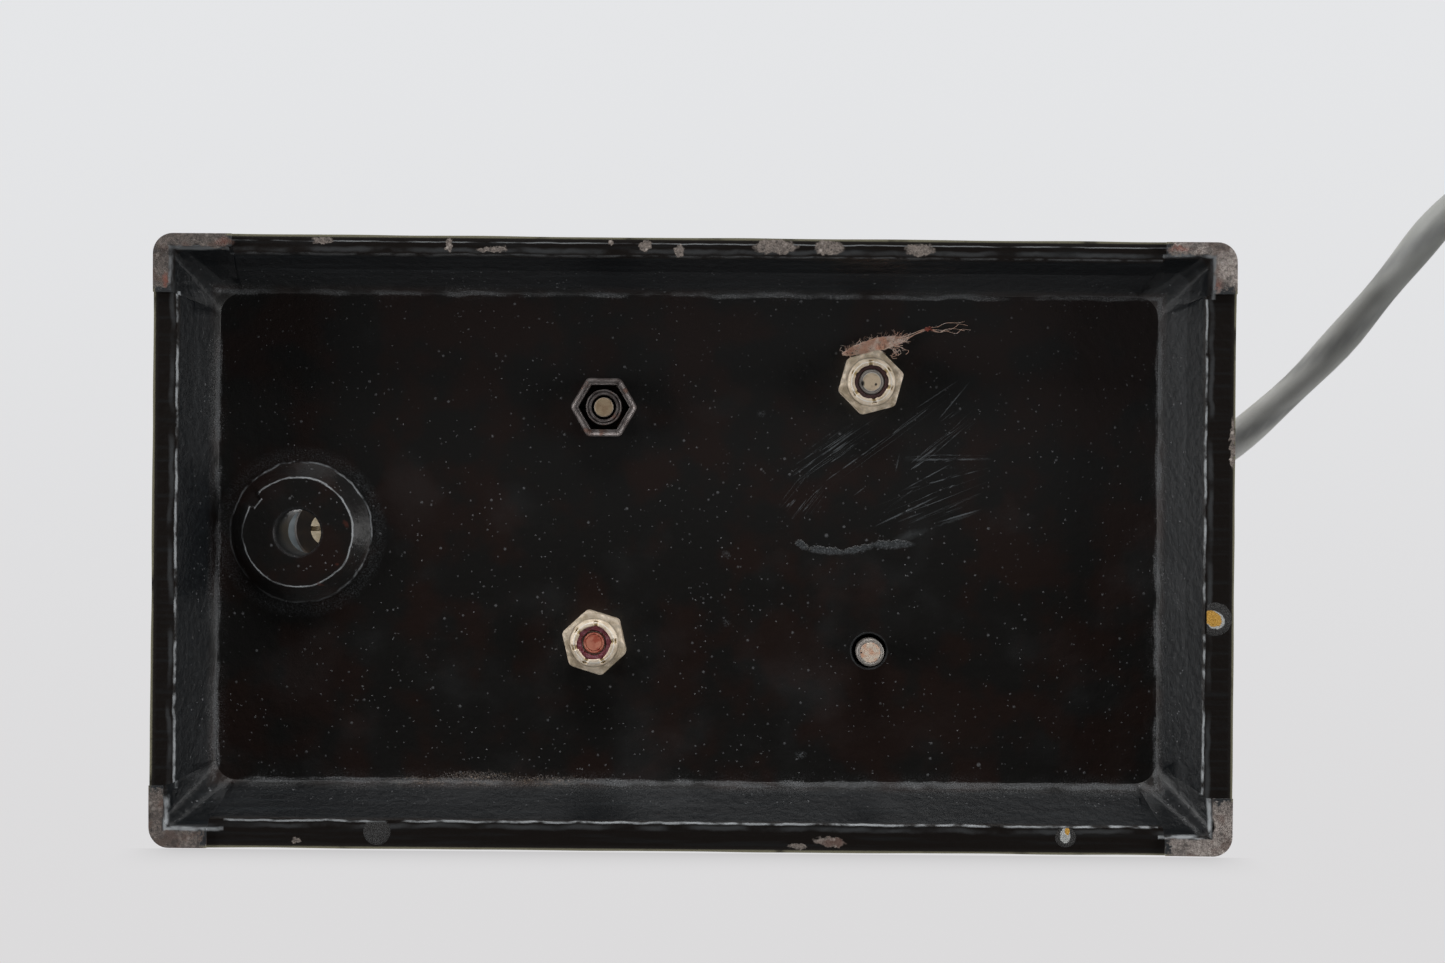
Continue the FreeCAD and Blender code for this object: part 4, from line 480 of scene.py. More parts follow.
def phenolic_moulding():
    """Phenolic plastic: dark brown with a paler swirl of filler and a dull bloom in its grips;
    the two halves meet in a dark line, and the moulding's skin is glossy."""
    material, node, shader, point = new_finish("brown_phenolic")
    height = node("SeparateXYZ", {0: point}, out=2)
    flow = node("TexNoise", {"Vector": point, "Scale": 0.25, "Detail": 5, "Distortion": 1.6})
    fine, gloss, relief = grained(node, point, 4.0, 0.02, (0.2, 0.34), 5)
    swirl = node("MapRange", {0: flow, 1: 0.4, 2: 0.66})
    bloom = blotches(node, point, 6, 0.5, 0.75, 5)
    seam = hairline(node, plus(node, height, -PLUG_Z, both(node, fine, 0.1)), 0.14)
    colour = layered(node, "#2b1710", (swirl, "#4a2a1a"), (both(node, bloom, 0.35), "#6f5645"))
    colour = layered(node, colour, (seam, "#0f0805"))
    gloss = plus(node, gloss, both(node, bloom, 0.15))
    relief = node("Bump", {"Height": seam, "Distance": -0.2 * MM, "Normal": relief})
    plug(shader, {"Base Color": colour, "Roughness": gloss, "Normal": relief})
    shader.inputs["IOR"].default_value = 1.6
    return material


def plug_screw_brass():
    """Plain brass, browned in patches and rubbed bright round the head; its slot is only a dark line of
    painted shade.
    """
    material, node, shader, point = new_finish("browned_plug_brass")
    fine = node("TexNoise", {"Vector": point, "Scale": 2.5, "Detail": 5})
    rough = node("MapRange", {0: fine, 3: 0.28, 4: 0.5})
    tarnish = blotches(node, point, 1.8, 0.4, 0.65)
    # Painted shade: the slot is a dark line across the head, with no cut in the mesh.
    slot = hairline(node, plus(node, node("SeparateXYZ", {0: point}, out=1), -PLUG_SCREW_Y), 0.4)
    colour = layered(node, "#c59a4c", (tarnish, "#7d5a2a"), (both(node, slot, 0.9), "#1d130a"))
    plug(shader, {"Base Color": colour, "Roughness": rough, "Metallic": 1.0})
    return material


def moulded_plug():
    """A round-shouldered two-pin plug: square at the pins, ribbed at its waist for the fingers,
    drawn in to a neck round the cable, and held together by a screw with a slotted head."""
    (low_x, low_y, low_z), (high_x, _, high_z) = box_of("plug_body")
    middle = Vector(((low_x + high_x) / 2, low_y, (low_z + high_z) / 2))
    ribs = []
    for step in range(PLUG_RIB_STEPS):
        wide, tall = (half - sunk * (step % 2) for half, sunk in zip(PLUG_RIB_HALF, PLUG_RIB_SUNK))
        ribs.append((PLUG_RIBS_FROM + PLUG_RIB_STEP * step, wide, tall, 4.0))
    bm = bmesh.new()
    ring = []
    for along, wide, tall, square in PLUG_FACE + ribs + PLUG_NECK:
        spots = []
        for side in range(PLUG_SIDES):
            across, up = math.cos(TURN * side / PLUG_SIDES), math.sin(TURN * side / PLUG_SIDES)
            reach = (abs(across) ** square + abs(up) ** square) ** (-1 / square)
            spots.append(middle + Vector((across * reach * wide, along, up * reach * tall)))
        if ring:
            ring = wall_to(bm, ring, spots)
        else:
            ring = [bm.verts.new(spot) for spot in spots]
            bm.faces.new(ring)
    bm.faces.new(ring)
    bmesh.ops.recalc_face_normals(bm, faces=bm.faces)
    body = len(bm.faces)
    head = [(0, high_z - 0.05), (2.1, high_z - 0.05), (2.5, high_z - 0.35)]
    head += [(2.5, high_z - 2), (0, high_z - 2)]
    spun(bm, head, (middle.x, PLUG_SCREW_Y), steps=40)
    for face in bm.faces[body:]:
        face.material_index = 1
    finishes = [phenolic_moulding(), plug_screw_brass()]
    return finished("moulded_plug", bm, finishes, "case", ["plug_body"], 40)


def cable_tube(route):
    """The middle line and the round tube of one spline along the route, in metres."""
    line = bpy.data.curves.new("cable_line", "CURVE")
    line.dimensions = "3D"
    line.resolution_u = CABLE_FINE
    spline = line.splines.new("NURBS")
    spline.points.add(len(route) - 1)
    for point, place in zip(spline.points, route):
        point.co = (*place, 1)
    spline.order_u = 3
    spline.use_endpoint_u = True
    thread = bpy.data.objects.new("cable_line", line)
    path = [vert.co.copy() for vert in bpy.data.meshes.new_from_object(thread).vertices]
    line.bevel_depth = CABLE_WIDE / 2 * MM
    line.bevel_resolution = CABLE_FINE
    mesh = bpy.data.meshes.new_from_object(thread)
    bpy.data.objects.remove(thread)
    return path, mesh


def twisted(mesh, path):
    """Sinks the shallow valleys of the two twisted cores into the tube, and closes its ends."""
    sides = 4 + 2 * CABLE_FINE
    gone = 0.0
    twist = mesh.attributes.new("twist", "FLOAT", "POINT")
    for ring, centre in enumerate(path):
        gone += (centre - path[ring - 1]).length / MM if ring else 0
        for side in range(sides):
            vert = mesh.vertices[ring * sides + side]
            turned = TURN * side / sides - TURN * gone / (2 * CABLE_TWIST) + CABLE_PHASE
            valley = 0.5 - 0.5 * math.cos(2 * turned)
            vert.co = centre + (vert.co - centre) * (1 - CABLE_LOBE * valley)
            # How deep the valley is here; the sheath's finish darkens it as painted shade.
            twist.data[ring * sides + side].value = valley**3
    tube = bmesh.new()
    tube.from_mesh(mesh)
    bmesh.ops.holes_fill(tube, edges=[edge for edge in tube.edges if edge.is_boundary], sides=0)
    tube.to_mesh(mesh)
    tube.free()
    mesh.shade_smooth()


def supply_cable():
    """The cable from the case to the coil and the plug, with its tie and the plug at its far end."""
    route = [Vector(point) * MM for point in cable_points()]
    path, mesh = cable_tube(route)
    twisted(mesh, path)
    nodes = ("supply_cable", "cable_coil")
    piece = placed("twisted_cable", mesh, [cable_material()], "case", nodes)
    kit = [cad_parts[name] for name in ("strain_relief", "plug_pins")] + [tape_tie(), moulded_plug()]


supply_cable()


# ------------------------------------------------------------------ base casting

DECK_LOW = 16.0
DECK_TOP = 21.0
RIM_LOW = 1.0
BASE_ROUND = 3.7
RECESS_ROUND = 2.2
PLATE_ROUND = 4.0
ARC_POINTS = 11
DECK_INSET = 1.2
FOOT_STEP = 0.4
GRID = 2.5
STUDS = {
    "back_right": (17.4, 25.9),
    "front_right": (18.8, -19.0),
    "back_left": (-33.6, 31.1),
    "front_left": (-33.8, -20.4),
}
STUD_HOLE = 3.26
STUD_CELL = 4.2
BOSS_AT = (75.5, 1.5)
BOSS_CELL = 13.7
# A nick in the boss's edge: from and to this angle, and how deep.
BOSS_NICK = (28, 43)
NICK_DEEP = 1.1
BOSS_PROFILE = [
    (13.4, 16.0),
    (13.0, 15.4),
    (10.7, 11.3),
    (10.4, 11.0),
    (4.7, 11.0),
    (4.4, 11.4),
    (4.4, 30.3),
    (4.7, 30.7),
    (10.2, 30.7),
    (10.6, 30.3),
    (13.2, 21.4),
    (13.4, 21.0),
]
# Each corner of the rim: which way it points, where the recess, the pocket inside the foot and the
# plate have their corners, and where the foot's two arms end.
CORNERS = [
    dict(zip(("way", "recess", "pocket", "plate", "foot"), places))
    for places in (
        ((1, 1), (97.0, 54.1), (98.0, 55.1), (91.3, 47.3), (86.9, 46.5)),
        ((-1, 1), (-95.9, 53.9), (-96.6, 54.7), (-88.9, 48.0), (-88.3, 47.8)),
        ((-1, -1), (-96.1, -52.4), (-97.7, -54.2), (-89.1, -45.5), (-88.9, -46.7)),
        ((1, -1), (97.3, -52.1), (98.8, -53.8), (91.5, -46.2), (90.7, -46.0)),
    )
]


def corner_arc(way, corner, radius, count):
    """Points round a corner, from its side across X to its side across Y."""
    middle = [place - sign * radius for place, sign in zip(corner, way)]
    spots = []
    for step in range(count):
        angle = math.pi / 2 * step / (count - 1)
        turned = (math.cos(angle), math.sin(angle))
        spots.append(tuple(near + sign * radius * part for near, sign, part in zip(middle, way, turned)))
    return spots


def ring_spots(z, paths):
    """The points at height z through the four corners' paths, counter-clockwise."""
    spots = []
    for corner, path in zip(CORNERS, paths):
        spots += path if corner["way"][0] == corner["way"][1] else path[::-1]
    return [Vector((x, y, z)) for x, y in spots]


def stepped(corner, across_x, across_y, radius):
    """A corner's path with the two places beside it where a foot ends."""
    (sign_x, sign_y), (end_x, end_y) = corner["way"], corner["foot"]
    (near_x, far_x), (near_y, far_y) = across_x, across_y
    arc = corner_arc(corner["way"], (far_x, far_y), radius, ARC_POINTS)
    start = [(near_x, end_y - sign_y * FOOT_STEP), (far_x, end_y)]
    return start + arc + [(end_x, far_y), (end_x - sign_x * FOOT_STEP, near_y)]


def outside(inset, half):
    """The corners' paths round the outside of the base, inset from its sides."""
    paths = []
    for corner in CORNERS:
        x, y = (sign * (side - inset) for sign, side in zip(corner["way"], half))
        paths.append(stepped(corner, (x, x), (y, y), BASE_ROUND))
    return paths


def pierced(bm, place, profile, half):
    """Lets a turned wall through the deck: a square cell at each level is opened and met by it."""
    x, y = place
    sliced(bm, (x - half, x + half), (1, 0, 0))
    sliced(bm, (y - half, y + half), (0, 1, 0))
    steps = 96
    levels = (profile[0][1], profile[-1][1])
    rims = []
    for level in levels:
        cell = []
        for face in bm.faces:
            centre = face.calc_center_median()
            beside = max(abs(centre.x - x), abs(centre.y - y)) < half
            if beside and all(abs(vert.co.z - level) < 0.01 for vert in face.verts):
                cell.append(face)
        edges = dict.fromkeys(edge for face in cell for edge in face.edges)
        edges = [edge for edge in edges if sum(face in cell for face in edge.link_faces) == 1]
        bmesh.ops.delete(bm, geom=cell, context="FACES")
        split = bmesh.ops.subdivide_edges(bm, edges=edges, cuts=steps // len(edges) - 1)
        rims.append(only(BMEdge, split["geom"]))
    wall = spun(bm, profile, place, steps)
    ends = [edge for edge in linked(wall) if edge.is_boundary]
    for level, rim in zip(levels, rims):
        hoop = [edge for edge in ends if abs(edge.verts[0].co.z - level) < 0.01]
        outer = [edge for edge in rim if edge.is_boundary]
        bmesh.ops.bridge_loops(bm, edges=hoop + outer)
    return wall


def feet_grown(bm):
    """Lets the rim's corners down to the ground as four L-shaped feet."""
    for corner in CORNERS:
        sliced(bm, [corner["foot"][0]], (1, 0, 0))
        sliced(bm, [corner["foot"][1]], (0, 1, 0))
    feet = []
    for face in bm.faces:
        middle = face.calc_center_median()
        level = all(abs(vert.co.z - RIM_LOW) < 0.01 for vert in face.verts)
        for corner in CORNERS:
            beside = zip(corner["way"], middle, corner["foot"])
            past = [sign * (place - end) > 0 for sign, place, end in beside]
            if level and all(past):
                feet.append(face)
    grown = only(BMVert, bmesh.ops.extrude_face_region(bm, geom=feet)["geom"])
    bmesh.ops.delete(bm, geom=feet, context="FACES")
    bmesh.ops.translate(bm, vec=(0, 0, -RIM_LOW), verts=grown)


def base_casting():
    """A hollow slab of cast iron on four feet: its recess opens downward and has sloped walls, and
    the plate that it leaves under the deck is pierced by the studs and by the bored boss."""
    _, high = box_of("base_casting")
    half = (high.x, high.y)
    bm = bmesh.new()
    deck = [bm.verts.new(spot) for spot in ring_spots(DECK_TOP, outside(DECK_INSET, half))]
    bm.faces.new(deck)
    rim = wall_to(bm, deck, ring_spots(RIM_LOW, outside(0, half)))
    recess = [stepped(corner, *zip(corner["recess"], corner["pocket"]), RECESS_ROUND) for corner in CORNERS]
    recess_edge = wall_to(bm, rim, ring_spots(RIM_LOW, recess))
    plate = [corner_arc(corner["way"], corner["plate"], PLATE_ROUND, ARC_POINTS + 4) for corner in CORNERS]
    bm.faces.new(wall_to(bm, recess_edge, ring_spots(DECK_LOW, plate)))
    feet_grown(bm)
    bmesh.ops.recalc_face_normals(bm, faces=bm.faces)

    def on_arris(at):
        return at.z < RIM_LOW + 0.1 and (abs(at.x) > half[0] - 0.6 or abs(at.y) > half[1] - 0.6)

    softened(bm, 0.4, on_arris, segments=3)
    softened(bm, 1.4, lambda at: abs(at.z - DECK_LOW) < 0.1, segments=3)
    softened(bm, 0.8, lambda at: abs(at.z - DECK_TOP) < 0.1)
    for place in STUDS.values():
        walls = [(STUD_HOLE + 0.25, DECK_LOW), (STUD_HOLE, DECK_LOW + 0.3), (STUD_HOLE, DECK_TOP)]
        pierced(bm, place, walls, STUD_CELL)
    for vert in pierced(bm, BOSS_AT, BOSS_PROFILE, BOSS_CELL):
        out, angle = from_axis(vert, BOSS_AT)
        if vert.co.z < 12 and out.length > 10 and BOSS_NICK[0] < angle < BOSS_NICK[1]:
            vert.co -= out.normalized() * NICK_DEEP
    sliced(bm, [GRID * step for step in range(-40, 41)], (1, 0, 0))
    sliced(bm, [GRID * step for step in range(-22, 23)], (0, 1, 0))
    uneven(bm, 0.13, 13, DECK_TOP - 0.1)
    return finished("cast_base", bm, [black_enamel()], "case", ["base_casting"], 40)


# Worn places in the enamel: x, y, half length, half width and angle.
RIM_CHIPS = [
    (90, 56, 3.5, 1.2, 0),
    (70, 56.5, 2.4, 0.6, 0),
    (46.3, 55.8, 0.8, 1.2, 0),
    (38, 55, 3.2, 0.6, 0),
    (16, 56.4, 0.7, 0.6, 0),
    (9.4, 56, 1.2, 1.2, 0),
    (3, 55, 1, 1.2, 0),
    (-15, 56.0, 4.4, 1.5, 0),
    (-25, 55.9, 3.1, 1.5, 0),
    (-42, 55.7, 2.9, 1.3, 0),
    (-92, 56, 4, 1.1, 0),
    (-26, -55.5, 3.2, 0.9, 5),
    (-20, -56.3, 2, 0.6, 0),
    (74, -56.2, 1, 0.6, 0),
    (-101, 20, 0.6, 5.2, 0),
]
SCRATCHES = [
    (-25, 17.5, 9, 0.16, -36),
    (-31, 16.4, 10, 0.14, -36),
    (-49.5, 27.5, 5.5, 0.16, -51),
    (-48.5, 16.5, 9, 0.18, -1),
    (-39, 15.8, 2, 0.18, -78),
    (-44.5, 13, 6, 0.15, -29),
    (-41, 6.6, 7.5, 0.2, -26),
    (-48.5, 12.8, 9, 0.15, -15),
    (-46.5, 29, 5, 0.15, -34),
    (-51, 5.7, 5, 0.2, -17),
]
# Where the plate is scored: the patch, the way its scores run in degrees, and how close they lie.
SCORED = [
    ((-26, 17.5, 10, 3.2, -35), -36, 8),
    ((-20.5, 9.5, 4.5, 4.5, 0), -52, 6),
    ((-40, 18, 16, 10, -36), -38, 3.6),
    ((-45, 11, 12, 7, -14), -22, 3),
    ((-49, 16.4, 9, 1.6, 0), -1, 5),
]
GOUGE = [
    (-20.8, -0.2, 1.6, 0.75, 29),
    (-25.5, -1.2, 4.4, 0.8, 4),
    (-31.5, -0.9, 4, 0.75, -13),
    (-38, 0.1, 4.6, 0.95, -1),
]
GOUGE_TAIL = [(-41.5, 1.9, 4.2, 1.1, -20), (-50.0, 4.9, 6.0, 0.3, -19)]
GREY_SPOTS = [
    (-12.8, 25, 1, 0.8, 0),
    (-6.3, -2.1, 1, 0.8, 20),
    (-20.8, -40.5, 1.4, 0.9, 0),
    (-6.4, -15.3, 1, 0.8, 0),
]
DUST_HEAP = [(41, -45.4, 9, 1.5, 0), (52, -46, 8, 0.8, 0), (28, -45.8, 12, 0.9, 0)]
BOSS_CHIPS = [(66.3, 3.2, 0.9, 0.6, 60), (71.1, -8.4, 0.8, 0.35, 20), (67.9, -4.6, 0.5, 0.4, 0)]
FOOT_RUST = [
    (-27, -55.6, 4.0, 1.0, 0),
    (99.2, 48.6, 0.7, 1.6, 0),
    (87.5, 56.0, 3.0, 1.0, 0),
    (-97.6, 49.6, 1.6, 1.6, 0),
    (-90.6, 56.2, 3, 0.8, 0),
]
LIP_GAP = (-96.4, -13.0, 2.4, 3.6, 0)
# The mean outlines of the recess, of the pockets and of the plate, seen along Z, and the corners
# past which the pockets lie.
RECESS_EDGE = ((-96.0, -52.3), (97.1, 54.0))
POCKET_EDGE = ((-97.3, -54.0), (98.4, 54.9))
PLATE_EDGE = ((-89.0, -46.0), (91.4, 47.6))
POCKET_PAST = (87.6, 46.8)
BASE_HALF = (101.15, 57.15)
# Heights that part the casting: its rim lies below the first, its plate and boss root above the
# second, and its hollow below the third.
RIM_BELOW = 7.0
PLATE_ABOVE = 12.5
HOLLOW_BELOW = 17.0


def foot_ends():
    """Where the enamel has crept over the ends of the feet's arms, as worn places."""
    ends = []
    for corner in CORNERS:
        (sign_x, sign_y), (end_x, end_y) = corner["way"], corner["foot"]
        ends.append((end_x + 0.2 * sign_x, 56.0 * sign_y, 1.1, 3.4, 0))
        ends.append((99.4 * sign_x, end_y + 0.2 * sign_y, 3.4, 1.1, 0))
    return ends


def scored_lines(node, point, angle, count=9.0):
    """Hairline scores that run one way: the level lines of a noise stretched along them."""
    turned = {"Rotation": (0, 0, math.radians(angle)), "Scale": (70, 2.2, 1)}
    along = node("Mapping", {"Vector": point, **turned}, vector_type="TEXTURE")
    height = node("TexNoise", {"Vector": along, "Scale": 1.0, "Detail": 3, "Roughness": 0.6})
    waves = node("Math", {0: height, 1: count}, operation="MULTIPLY")
    near = node("Math", {0: node("Math", {0: waves}, operation="FRACT"), 1: 0.5}, operation="SUBTRACT")
    return hairline(node, near, 0.004 * count)


def enamel_zones(node, point):
    """Where a point of the casting lies, and the noises that the parts of its finish share."""
    at = types.SimpleNamespace()
    at.x, at.y, at.z = (node("SeparateXYZ", {0: point}, out=axis) for axis in range(3))
    at.far_x, at.far_y = (node("Math", {0: way}, operation="ABSOLUTE") for way in (at.x, at.y))
    at.past_y = plus(node, at.far_y, -BASE_HALF[1])
    at.edge = either(node, plus(node, at.far_x, -BASE_HALF[0]), at.past_y)
    at.outer = node("MapRange", {0: at.edge, 1: -0.8, 2: -0.3})
    at.low = node("Math", {0: at.z, 1: RIM_BELOW}, operation="LESS_THAN")
    at.deep = node("Math", {0: at.z, 1: PLATE_ABOVE}, operation="GREATER_THAN")
    hollow = node("Math", {0: at.z, 1: HOLLOW_BELOW}, operation="LESS_THAN")
    at.under = but_not(node, hollow, at.outer)
    at.plate = both(node, at.deep, at.under)
    at.rim = both(node, at.low, node("MapRange", {0: at.z, 1: 2.2, 2: 1.4}))
    at.beyond_plate = outside_box(node, point, *PLATE_EDGE)
    at.beyond_recess = outside_box(node, point, *RECESS_EDGE)
    at.beyond_pocket = outside_box(node, point, *POCKET_EDGE)
    at.fine = node("TexNoise", {"Vector": point, "Scale": 1.6, "Detail": 6, "Roughness": 0.65})
    grit = node("TexNoise", {"Vector": point, "Scale": 3.2, "Detail": 5, "Roughness": 0.75})
    at.grit = node("MapRange", {0: grit, 1: 0.47, 2: 0.66})
    at.patchy = blotches(node, point, 9, 0.35, 0.6)
    at.broken = blotches(node, point, 3.2, 0.36, 0.58)
    at.wander = wobbly(node, point, 5, 0.35)
    at.wave = wobbly(node, point, 3.4, 0.3)
    return at


def sound_enamel(node, point, at):
    """The unworn enamel: brownish on the plate and the rim, bluish on the recess's walls and outside."""
    broad = node("TexNoise", {"Vector": point, "Scale": 0.09, "Detail": 3})
    warm = node("MapRange", {0: broad, 1: 0.42, 2: 0.62}, interpolation_type="SMOOTHSTEP")
    flank = node("MapRange", {0: at.beyond_plate, 1: 0.2, 2: 1.6}, interpolation_type="SMOOTHSTEP")
    flank = either(node, flank, but_not(node, 1.0, at.under))
    clouds = layered(node, "#0a0c0e", (at.fine, "#111417"))
    colour = layered(node, "#1a1918", (both(node, warm, at.under), "#231916"), (flank, clouds))
    brushed = node("Mapping", {"Vector": point, "Scale": (0.05, 0.9, 0.9)})
    brushed = node("TexNoise", {"Vector": brushed, "Scale": 1.0, "Detail": 4})
    streaks = both(node, node("MapRange", {0: brushed, 1: 0.5, 2: 0.7}), flank, at.under, 0.25)
    return layered(node, colour, (at.rim, "#191513"), (streaks, "#2c3134"))


def settled_dust(node, point, at, colour):
    """Specks of dust and lint all over, lines of it where the walls meet the plate, and a heap."""
    specks = flecks(node, point, 3.2, 0.34, 0.6)
    small = flecks(node, point, 1.5, 0.24, 0.5)
    lint = flecks(node, point, 11.0, 0.5, 0.4)
    powder = flecks(node, point, 1.0, 0.17, 0.4)
    thick = node("MapRange", {0: at.patchy, 3: 0.35, 4: 1.0})
    sparse = both(node, either(node, specks, lint, both(node, either(node, small, powder), thick)), 0.6)
    haze = both(node, blotches(node, point, 16, 0.45, 0.75), 0.06)
    by_walls = node("MapRange", {0: at.beyond_plate, 1: -2.6, 2: 0.6})
    on_walls = node("MapRange", {0: at.beyond_plate, 1: 1.8, 2: 0.8})
    soft = both(node, by_walls, on_walls, at.patchy, either(node, at.grit, small), 0.34)
    to_back = node("MapRange", {0: at.y, 1: -10.0, 2: 38.0})
    to_cable = node("MapRange", {0: at.x, 1: 70.0, 2: -80.0, 3: 0.03, 4: 0.08})
    dust = either(node, sparse, haze, soft, both(node, to_back, to_cable))
    dust = but_not(node, both(node, dust, at.under, 0.62), at.low)
    on_deck = node("MapRange", {0: at.z, 1: 20.4, 2: 20.9})
    on_deck = both(node, on_deck, either(node, specks, small), thick, 0.3)
    at.dust = either(node, dust, on_deck)
    band = hairline(node, plus(node, at.beyond_plate, at.wander), 0.34)
    band = both(node, band, node("MapRange", {0: at.grit, 3: 0.35, 4: 1.0}))
    at.line = both(node, band, at.patchy, at.plate)
    crumbs = either(node, both(node, at.grit, 0.8), flecks(node, point, 0.9, 0.28, 0.6))
    at.heap = both(node, marks(node, point, DUST_HEAP, 1.2, 0.9), crumbs, at.plate)
    colour = layered(node, colour, (at.dust, "#8f9194"), (both(node, at.line, 0.85), "#85888b"))
    return layered(node, colour, (both(node, at.heap, 0.75), "#9a8674"))


def lip_lines(node, point, at):
    """Painted highlights along the lips of the recess and of the feet's pockets, and a dimmer one on the rim.
    """
    past = [
        node("Math", {0: away, 1: limit}, operation="GREATER_THAN")
        for away, limit in zip((at.far_x, at.far_y), POCKET_PAST)
    ]
    corner = both(node, *past)
    # Thin bright lines along these edges are painted highlights.
    lip_glint = plus(node, at.beyond_recess, both(node, at.wander, 0.4), both(node, at.wave, 0.25))
    front = node("MapRange", {0: at.y, 1: 53.0, 2: 50.0, 3: 0.15, 4: 1.0})
    above_rim = node("MapRange", {0: at.z, 1: 0.6, 2: 0.9})
    lip_glint = both(node, hairline(node, lip_glint, 0.15), at.low, above_rim, at.broken, front)
    lip_glint = but_not(node, lip_glint, corner, marks(node, point, [LIP_GAP], 0.5, 0.2))
    foot_lip_glint = hairline(node, plus(node, at.beyond_pocket, both(node, at.wander, 0.6)), 0.28)
    to_front = node("MapRange", {0: at.y, 1: 30.0, 2: -10.0, 3: 0.5, 4: 1.0})
    foot_lip_glint = both(node, foot_lip_glint, corner, at.low, at.broken, to_front)
    shelf_glint = hairline(node, plus(node, at.beyond_recess, -0.9, at.wander), 0.35)
    return either(node, lip_glint, foot_lip_glint), both(node, shelf_glint, at.rim, at.patchy, 0.25)


def boss_lines(node, point, at):
    """Painted highlights on the edge of the boss's face, with its nick, and on the line round its root, then
    a dimmer haze and a dimmer painted highlight round the bore's edge.
    """
    away, _ = off_axis(node, point, (*BOSS_AT, 0))
    offset = node("VectorMath", {0: point, 1: (*BOSS_AT, 0)}, operation="SUBTRACT")
    across, up = (node("SeparateXYZ", {0: offset}, out=axis) for axis in range(2))
    turn = node("Math", {0: up, 1: across}, operation="ARCTAN2")
    first, last = (math.radians(angle) for angle in BOSS_NICK)
    nick = node("Math", {0: turn, 1: first}, operation="GREATER_THAN")
    nick = both(node, nick, node("Math", {0: turn, 1: last}, operation="LESS_THAN"), NICK_DEEP)
    # Painted highlights: a bright line round the edge of the boss's face and another round its root.
    face = hairline(node, plus(node, away, nick, -10.5, both(node, at.wave, 0.8)), 0.12)
    face = both(node, face, node("MapRange", {0: at.z, 1: 12.5, 2: 12.0}))
    face = both(node, face, node("MapRange", {0: at.broken, 3: 0.45, 4: 1.0}))
    lit_side = node("VectorMath", {0: offset, 1: (-0.53, 0.85, 0)}, out="Value", operation="DOT_PRODUCT")
    lit_side = node("MapRange", {0: lit_side, 1: -6.0, 2: 4.0, 3: 0.25, 4: 0.9})
    root = hairline(node, plus(node, away, -13.5, at.wave), 0.14)
    root = both(node, root, at.deep, lit_side, at.broken)
    haze = both(node, hairline(node, plus(node, away, -14.9, at.wave), 1.1), at.grit, at.plate, 0.35)
    bore_edge_glint = both(node, hairline(node, plus(node, away, -4.6), 0.25), at.grit, at.under, 0.3)
    # Painted shade: the inside of the bore is coloured almost black.
    at.bore = both(node, node("MapRange", {0: away, 1: 4.75, 2: 4.45}), 0.8)
    return either(node, face, root), either(node, haze, bore_edge_glint)


def worn_lines(node, point, at, colour):
    """Painted highlights along lips and edges, dimmer ones round the holes, and painted shade that darkens
    the bore.
    """
    lips, shelf_glint = lip_lines(node, point, at)
    boss, boss_haze_and_glint = boss_lines(node, point, at)
    rims = []
    # Dimmer painted highlights round the edges of the studs' holes.
    for place in STUDS.values():
        away, _ = off_axis(node, point, (*place, 0))
        rims.append(hairline(node, plus(node, away, -3.45), 0.14))
    rims = both(node, either(node, *rims), at.plate, 0.4)
    # A painted highlight along the back of the rim's outer edge.
    back_edge_glint = hairline(node, plus(node, at.past_y, 0.8, both(node, at.wave, 0.3)), 0.09)
    at_back = node("Math", {0: at.y, 1: 0.0}, operation="GREATER_THAN")
    back_edge_glint = both(node, back_edge_glint, at.low, at.patchy, at_back, 0.55)
    # The bright lines are painted highlights; the dimmer ones are painted highlights too, with the haze round
    # the boss.
    at.bright = either(node, both(node, either(node, lips, boss), at.under, 0.85), back_edge_glint)
    dim_glints_and_haze = both(node, either(node, boss_haze_and_glint, rims, shelf_glint), at.under)
    return layered(node, colour, (at.bore, "#050506"), (at.bright, "#a7abae"), (dim_glints_and_haze, "#6d7174"))


def scored_plate(node, point, at, colour):
    """Scores and scratches, the gouge with its tail, grey spots, and chips on the boss."""
    cuts = [both(node, marks(node, point, SCRATCHES, 0.1, 0.6), at.broken)]
    for patch, way, count in SCORED:
        scores = scored_lines(node, point, way, count)
        cuts.append(both(node, scores, marks(node, point, [patch], 1.5, 0.5)))
    at.cut = both(node, either(node, *cuts), at.plate)
    at.gouge = both(node, marks(node, point, GOUGE, 0.5, 0.35), at.plate)
    tail = both(node, marks(node, point, GOUGE_TAIL, 0.6, 0.9), at.broken, at.plate, 0.4)
    crumbs = both(node, at.grit, flecks(node, point, 1.6, 0.35, 0.35))
    torn = layered(node, "#2b2e30", (at.grit, "#63676a"), (crumbs, "#a09384"))
    spots = both(node, marks(node, point, GREY_SPOTS, 0.6, 0.6), at.grit, at.plate, 0.6)
    on_boss = node("MapRange", {0: at.z, 1: 13.0, 2: 12.5})
    chipped = both(node, marks(node, point, BOSS_CHIPS, 0.5, 0.6), on_boss, at.under, 0.7)
    colour = layered(node, colour, (both(node, at.cut, 0.5), "#7a8084"), (tail, "#565a5c"))
    colour = layered(node, colour, (both(node, at.gouge, 0.9), torn))
    return layered(node, colour, (spots, "#7d8184"), (chipped, "#4f2d26"))


